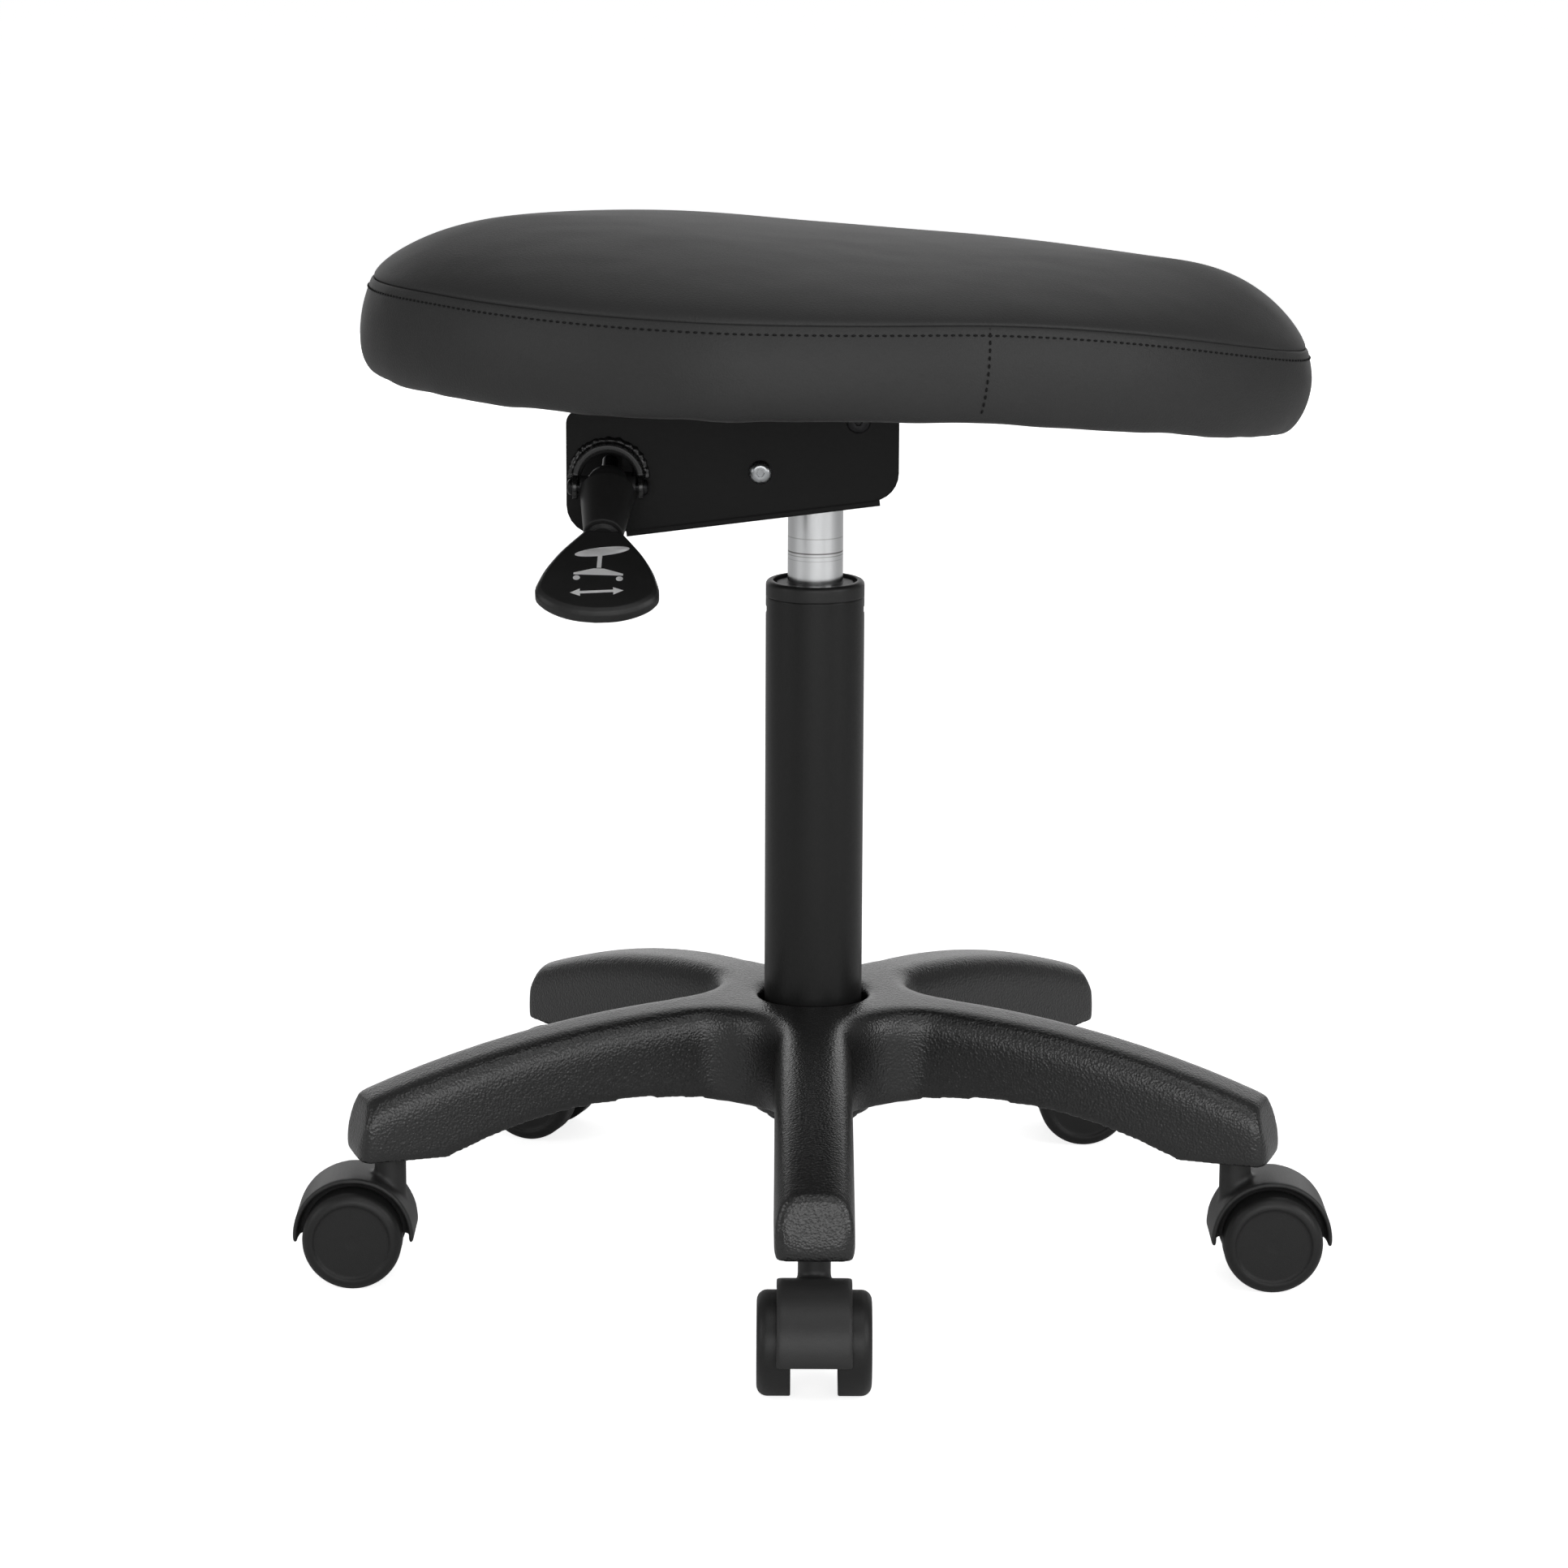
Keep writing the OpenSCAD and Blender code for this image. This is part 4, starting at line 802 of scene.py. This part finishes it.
class STOOL_OT_seat_lining(bpy.types.Operator):
    """Black lining cloth under the seat, held by staples"""

    bl_idname = "stool.seat_lining"
    bl_label = "Seat Lining"

    def execute(self, context):
        inset = 24

        def ring(share, z):
            def place(turn):
                p = spine_point(turn) + share * (plan_point(turn, inset) - spine_point(turn))
                ripple = 0.12 * math.sin(23 * turn) * share
                return in_seat(p.x, p.y, z + ripple - board_fall(p.x))

            return place

        bm = bmesh.new()
        ring_of_rings(bm, 120, [ring(s, -0.4) for s in (1, 0.97, 0.9, 0.7, 0.4, 0.15, 0)])
        bmesh.ops.remove_doubles(bm, verts=bm.verts, dist=0.01 * MM)
        piece = finish_piece("seat_lining", bm, "seat", FINISHES["lining"])
        thick = piece.modifiers.new("thickness", "SOLIDIFY")
        thick.thickness = 0.4 * MM
        thick.offset = 0
        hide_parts("dust_cover")

        count = context.scene.stool_seat.staples
        bm = bmesh.new()
        for k in range(count):
            turn = math.tau * (k + 0.5) / count
            p, q = plan_point(turn - 0.01, inset + 4), plan_point(turn + 0.01, inset + 4)
            along = math.atan2(q.y - p.y, q.x - p.x)
            matrix = (
                Matrix.Translation(in_seat(p.x, p.y, -0.85 - board_fall(p.x)))
                @ Matrix.Rotation(along, 4, "Z")
                @ Matrix.Diagonal((10 * MM, 1.1 * MM, 0.5 * MM, 1))
            )
            made = bmesh.ops.create_cube(bm, size=1, matrix=matrix)["verts"]
            edges = {e for v in made for e in v.link_edges}
            bmesh.ops.bevel(
                bm, geom=list(edges), offset=0.15 * MM, segments=1, profile=0.5, affect="EDGES", material=-1
            )
        staples = finish_piece("seat_staples", bm, "seat", FINISHES["zinc"], smooth=False)
        return {"FINISHED"}


# Mechanism and lever


class STOOL_OT_brackets(bpy.types.Operator):
    """Powder coat on the folded brackets, and the fasteners that hold them"""

    bl_idname = "stool.brackets"
    bl_label = "Brackets"

    def execute(self, context):
        dress(FINISHES["bracket"], "lower_bracket", "taper_socket", "valve_finger")
        dress(FINISHES["channel"], "seat_bracket")
        dress(FINISHES["zinc"], "pivot_bolt", "pivot_nut", "pivot_spacer", "seat_bolts", "seat_tnuts")
        dress(FINISHES["oxide"], "stop_bolt", "stop_nut", "valve_pin")
        dress(FINISHES["plywood"], "seat_board")
        return {"FINISHED"}


class STOOL_OT_weld_bead(bpy.types.Operator):
    """Weld that joins the lever's collar to the cheek: a rippled bead laid by hand"""

    bl_idname = "stool.weld_bead"
    bl_label = "Weld Bead"

    def execute(self, context):
        centre = Vector((-103, -33.0, 403.0)) * MM
        reach = 18.6 * MM
        bm = bmesh.new()
        made = bmesh.ops.create_circle(
            bm, segments=10, radius=1.9 * MM, matrix=Matrix.Translation(centre + Vector((reach, 0, 0)))
        )
        bmesh.ops.spin(
            bm,
            geom=made["verts"] + list(bm.edges),
            cent=centre,
            axis=(0, -1, 0),
            angle=math.pi,
            steps=96,
            use_merge=False,
        )
        for vert in bm.verts:
            arm = vert.co - centre
            turn = math.atan2(arm.z, arm.x)
            core = Vector((math.cos(turn), 0, math.sin(turn))) * reach
            wave = 0.1 * math.sin(31 * turn + 2 * math.sin(3 * turn))
            puddle = 0.14 * lumps.noise(Vector((turn * 9, 0, 0))) + wave
            grit = 0.3 * lumps.noise(vert.co / (1.3 * MM)) + 0.3 * lumps.noise(vert.co / (3.4 * MM))
            vert.co = centre + core + (arm - core) * (1 + puddle + grit)
        ends = [e for e in bm.edges if e.is_boundary]
        bmesh.ops.holes_fill(bm, edges=ends)
        finish_piece("collar_weld", bm, "gas_cylinder", FINISHES["weld"])
        return {"FINISHED"}


class STOOL_OT_lever(bpy.types.Operator):
    """Finishes of the lever and the symbols printed on its paddle"""

    bl_idname = "stool.lever"
    bl_label = "Lever"

    def execute(self, context):
        dress(FINISHES["weld"], "lever_collar")
        dress(FINISHES["oxide"], "lever_screws", "lever_shaft")
        dress(FINISHES["lever"], "lever_sleeve", "lever_paddle")

        # Symbols in the paddle's plane: x across, y down the paddle, in millimetres
        bm = bmesh.new()

        def shape(points):
            bm.faces.new([bm.verts.new((x, y, 0)) for x, y in points])

        def oval(x, y, across, down, lean=0.0):
            turns = [math.tau * k / 28 for k in range(28)]
            c, s = math.cos(lean), math.sin(lean)
            flat = [(across * math.cos(t), down * math.sin(t)) for t in turns]
            shape([(x + a * c - b * s, y + a * s + b * c) for a, b in flat])

        def arrow(x, y, long, lean):
            c, s = math.cos(lean), math.sin(lean)
            half = [(long, 0), (long - 5, 2.7), (long - 5, 0.9)]
            outline = half + [(-a, b) for a, b in reversed(half)]
            outline += [(-a, -b) for a, b in half[1:]] + [(a, -b) for a, b in reversed(half[1:])]
            shape([(x + a * c - b * s, y + a * s + b * c) for a, b in outline])

        # A stool seen from its side: a leaning seat, the column and a low foot on two wheels
        oval(0.8, 17.5, 13.5, 3.1, math.radians(-12))
        shape([(-1.1, 20.4), (1.1, 20.0), (1.1, 29.6), (-1.1, 29.6)])
        shape([(-2.4, 30.0), (2.4, 30.0), (12.0, 33.4), (12.0, 34.8), (-12.0, 34.8), (-12.0, 33.4)])
        oval(-10.4, 37.1, 1.7, 1.7)
        oval(10.4, 37.1, 1.7, 1.7)
        # A double arrow along the way that the seat tilts
        arrow(0, 46.8, 13.0, math.radians(-6))

        face = Matrix.Translation(LEVER_PIVOT * MM) @ Matrix.Rotation(math.pi / 2 + LEVER_SLOPE, 4, "X")
        face = face @ Matrix.Rotation(-LEVER_YAW, 4, "Y")
        for vert in bm.verts:
            across, along = vert.co.x, vert.co.y
            vert.co = face @ (Vector((across, PADDLE_FACE + INK_LIFT, PADDLE_START + along)) * MM)
        bmesh.ops.solidify(bm, geom=list(bm.faces), thickness=INK_THICKNESS * MM)
        finish_piece("paddle_symbols", bm, "paddle", FINISHES["ink"], smooth=False)
        return {"FINISHED"}


# Column, base and casters


class STOOL_OT_column(bpy.types.Operator):
    """Powder coated outer tube, moulded cap and ground gas cylinder"""

    bl_idname = "stool.column"
    bl_label = "Column"

    def execute(self, context):
        dress(FINISHES["tube"], "column_tube")
        dress(FINISHES["lever"], "guide_bush", "rod_guide")
        dress(FINISHES["ground"], "gas_cylinder", "piston_rod")
        dress(FINISHES["zinc"], "tube_end_plate", "piston", "thrust_bearing", "rod_clip")
        return {"FINISHED"}


class STOOL_OT_base(bpy.types.Operator):
    """Moulded five-armed base, with the soft shoulders and rounded arm ends of its tool"""

    bl_idname = "stool.base"
    bl_label = "Base"

    def execute(self, context):
        # The share that is kept holds the piece under 200,000 triangles
        moulded(
            "star_base",
            "star_base_moulding",
            "base",
            FINISHES["base"],
            voxel=1.25,
            passes=44,
            keep=0.3,
            cavity=40,
        )
        return {"FINISHED"}


class STOOL_OT_casters(bpy.types.Operator):
    """Hoods, wheels, stems and axles of the five casters"""

    bl_idname = "stool.casters"
    bl_label = "Casters"

    def execute(self, context):
        for k in CASTERS:
            # The hood finish is lighter than the wheels' nylon: painted light for the shade on the hoods'
            # tops
            moulded(
                f"housing_{k}",
                f"caster_hood_{k}",
                f"caster_{k}",
                FINISHES["hood"],
                voxel=0.9,
                passes=8,
                keep=0.3,
                cavity=12,
            )
            dress(FINISHES["wheel"], f"wheel_{k}_left", f"wheel_{k}_right")
            dress(FINISHES["zinc"], f"stem_{k}", f"axle_{k}")
        return {"FINISHED"}


# Stage


class STOOL_OT_stage(bpy.types.Operator):
    """White floor, soft studio lamps and the camera"""

    bl_idname = "stool.stage"
    bl_label = "Stage"

    def execute(self, context):
        settings = context.scene.stool_stage
        scene = context.scene
        scene.view_settings.view_transform = "Standard"

        bm = bmesh.new()
        bmesh.ops.create_grid(bm, x_segments=1, y_segments=1, size=30)
        mesh = bpy.data.meshes.new("floor")
        bm.to_mesh(mesh)
        bm.free()
        floor = bpy.data.objects.new("floor", mesh)
        scene.collection.objects.link(floor)
        mesh.materials.append(self.paper())

        world = bpy.data.worlds.new("studio")
        scene.world = world
        world.use_nodes = True
        tree = world.node_tree
        tree.nodes.clear()
        rays = add_node(tree, "ShaderNodeLightPath")
        seen = add_node(tree, "ShaderNodeMath", {"operation": "MAXIMUM"})
        tree.links.new(rays.outputs["Is Camera Ray"], seen.inputs[0])
        tree.links.new(rays.outputs["Is Transmission Ray"], seen.inputs[1])
        strength = add_node(
            tree,
            "ShaderNodeMapRange",
            {"To Min": settings.surround, "To Max": 1.0},
            {"Value": seen.outputs[0]},
        )
        light = add_node(
            tree, "ShaderNodeBackground", {"Color": (1, 1, 1, 1)}, {"Strength": strength.outputs["Result"]}
        )
        add_node(tree, "ShaderNodeOutputWorld", {}, {"Surface": light.outputs["Background"]})

        self.lamp("key", (0.3, -1.1, 2.4), (0, 0, 0.3), 1.4, 1.0, settings.key_power)
        self.lamp("front", (0.2, -3.0, 1.0), (0, 0, 0.25), 2.6, 1.3, settings.fill_power * 2.6)
        self.lamp("fill_left", (-2.2, -0.9, 1.0), (0, 0, 0.3), 1.0, 1.4, settings.fill_power * 0.75)
        self.lamp("fill_right", (2.0, -1.3, 1.1), (0, 0, 0.3), 1.0, 1.4, settings.fill_power * 1.4)
        self.lamp("back", (0.2, 1.9, 2.0), (0, 0, 0.45), 1.8, 0.8, settings.key_power * 0.4)
        self.lamp("backdrop", (0, 3.4, 0.8), (0, 0, 0.3), 4.5, 1.6, settings.backdrop)

        camera = bpy.data.objects.new("camera", bpy.data.cameras.new("camera"))
        scene.collection.objects.link(camera)
        scene.camera = camera
        camera.data.sensor_width = SENSOR
        camera.data.lens = LENS
        camera.data.clip_start = 0.05
        camera.data.clip_end = 100
        forward = Vector((0, math.cos(settings.pitch), -math.sin(settings.pitch)))
        right = Vector((1, 0, 0))
        up = right.cross(forward)
        c, s = math.cos(settings.roll), math.sin(settings.roll)
        axes = Matrix((right * c - up * s, up * c + right * s, -forward)).transposed().to_4x4()
        camera.matrix_world = Matrix.Translation(settings.camera_place) @ axes
        return {"FINISHED"}

    def paper(self):
        """Seamless white paper that keeps the stool's soft shadow, and is clear from below."""
        material = bpy.data.materials.new("seamless_paper")
        material.use_nodes = True
        tree = material.node_tree
        tree.nodes.clear()
        matt = add_node(tree, "ShaderNodeBsdfDiffuse", {"Color": linear("#f4f4f4")})
        rays = add_node(tree, "ShaderNodeLightPath")
        glow = add_node(tree, "ShaderNodeEmission", {"Color": (1, 1, 1, 1)})
        lift = add_node(tree, "ShaderNodeMath", {"operation": "MULTIPLY"})
        lift.inputs[1].default_value = 0.8
        tree.links.new(rays.outputs["Is Camera Ray"], lift.inputs[0])
        tree.links.new(lift.outputs[0], glow.inputs["Strength"])
        both = add_node(tree, "ShaderNodeAddShader")
        tree.links.new(matt.outputs["BSDF"], both.inputs[0])
        tree.links.new(glow.outputs["Emission"], both.inputs[1])
        side = add_node(tree, "ShaderNodeNewGeometry")
        clear = add_node(tree, "ShaderNodeBsdfTransparent")
        sheet = add_node(tree, "ShaderNodeMixShader")
        tree.links.new(side.outputs["Backfacing"], sheet.inputs["Fac"])
        tree.links.new(both.outputs[0], sheet.inputs[1])
        tree.links.new(clear.outputs["BSDF"], sheet.inputs[2])
        add_node(tree, "ShaderNodeOutputMaterial", {}, {"Surface": sheet.outputs[0]})
        return material

    def lamp(self, name, place, target, width, height, watts):
        """A soft box that points at the stool."""
        data = bpy.data.lights.new(name, "AREA")
        data.shape = "RECTANGLE"
        data.size = width
        data.size_y = height
        data.energy = watts
        lamp = bpy.data.objects.new(name, data)
        bpy.context.scene.collection.objects.link(lamp)
        lamp.location = place
        lamp.rotation_euler = (Vector(target) - Vector(place)).to_track_quat("-Z", "Y").to_euler()


# Panel and registration

STEPS = (
    STOOL_OT_seat_panel,
    STOOL_OT_seat_band,
    STOOL_OT_seat_stitches,
    STOOL_OT_seat_lining,
    STOOL_OT_brackets,
    STOOL_OT_weld_bead,
    STOOL_OT_lever,
    STOOL_OT_column,
    STOOL_OT_base,
    STOOL_OT_casters,
    STOOL_OT_stage,
)


class STOOL_PT_panel(bpy.types.Panel):
    """Lists the pieces of the stool in the sidebar"""

    bl_label = "Saddle Stool"
    bl_idname = "STOOL_PT_panel"
    bl_space_type = "VIEW_3D"
    bl_region_type = "UI"
    bl_category = "Stool"

    def draw(self, context):
        for group in (context.scene.stool_colours, context.scene.stool_seat, context.scene.stool_stage):
            box = self.layout.box()
            for name in group.__annotations__:
                box.prop(group, name)
        column = self.layout.column()
        for step in STEPS:
            column.operator(step.bl_idname)


GROUPS = {"stool_colours": StoolColours, "stool_seat": StoolSeat, "stool_stage": StoolStage}
FINISHES = {}


def make_finishes(colours):
    """The finishes that the operators share."""
    FINISHES.update(
        vinyl=upholstery_vinyl(colours),
        thread=thread(),
        base=base_nylon(colours),
        wheel=caster_nylon("wheel_nylon_moulded", colours.wheel_dark, colours.wheel_light),
        # Painted light: the hoods' nylon is a lighter copy of the wheels' nylon, to make up for the shade on
        # the hoods' tops
        hood=caster_nylon("hood_nylon_with_painted_light", colours.hood_clean_with_painted_light, colours.hood_scuffed_with_painted_light),
        lever=lever_plastic(),
        bracket=powder_coat("bracket_powder_coat", "#050505", "#0a0a0a", 0.38, 0.15),
        channel=powder_coat("channel_powder_coat", "#141414", "#1c1c1c", 0.3, 0.5),
        tube=powder_coat("tube_powder_coat", "#141414", "#1a1a1a", 0.34, 0.3),
        weld=powder_coat("weld_powder_coat", "#0e0e0e", "#151515", 0.2, 0.5),
        ground=ground_steel(),
        zinc=zinc_steel(),
        oxide=black_oxide(),
        ink=print_ink(),
        plywood=birch_plywood(),
        lining=lining_cloth(),
    )


def register():
    for group in (*GROUPS.values(), *STEPS, STOOL_PT_panel):
        bpy.utils.register_class(group)
    for name, group in GROUPS.items():
        setattr(bpy.types.Scene, name, PointerProperty(type=group))


def unregister():
    for name in GROUPS:
        delattr(bpy.types.Scene, name)
    for group in (STOOL_PT_panel, *reversed(STEPS), *GROUPS.values()):
        bpy.utils.unregister_class(group)


def main():
    """Makes the whole scene, operator by operator."""
    register()
    make_finishes(bpy.context.scene.stool_colours)
    bpy.ops.stool.seat_panel()
    bpy.ops.stool.seat_band()
    bpy.ops.stool.seat_stitches()
    bpy.ops.stool.seat_lining()
    bpy.ops.stool.brackets()
    bpy.ops.stool.weld_bead()
    bpy.ops.stool.lever()
    bpy.ops.stool.column()
    bpy.ops.stool.base()
    bpy.ops.stool.casters()
    bpy.ops.stool.stage()


if __name__ == "__main__":
    main()
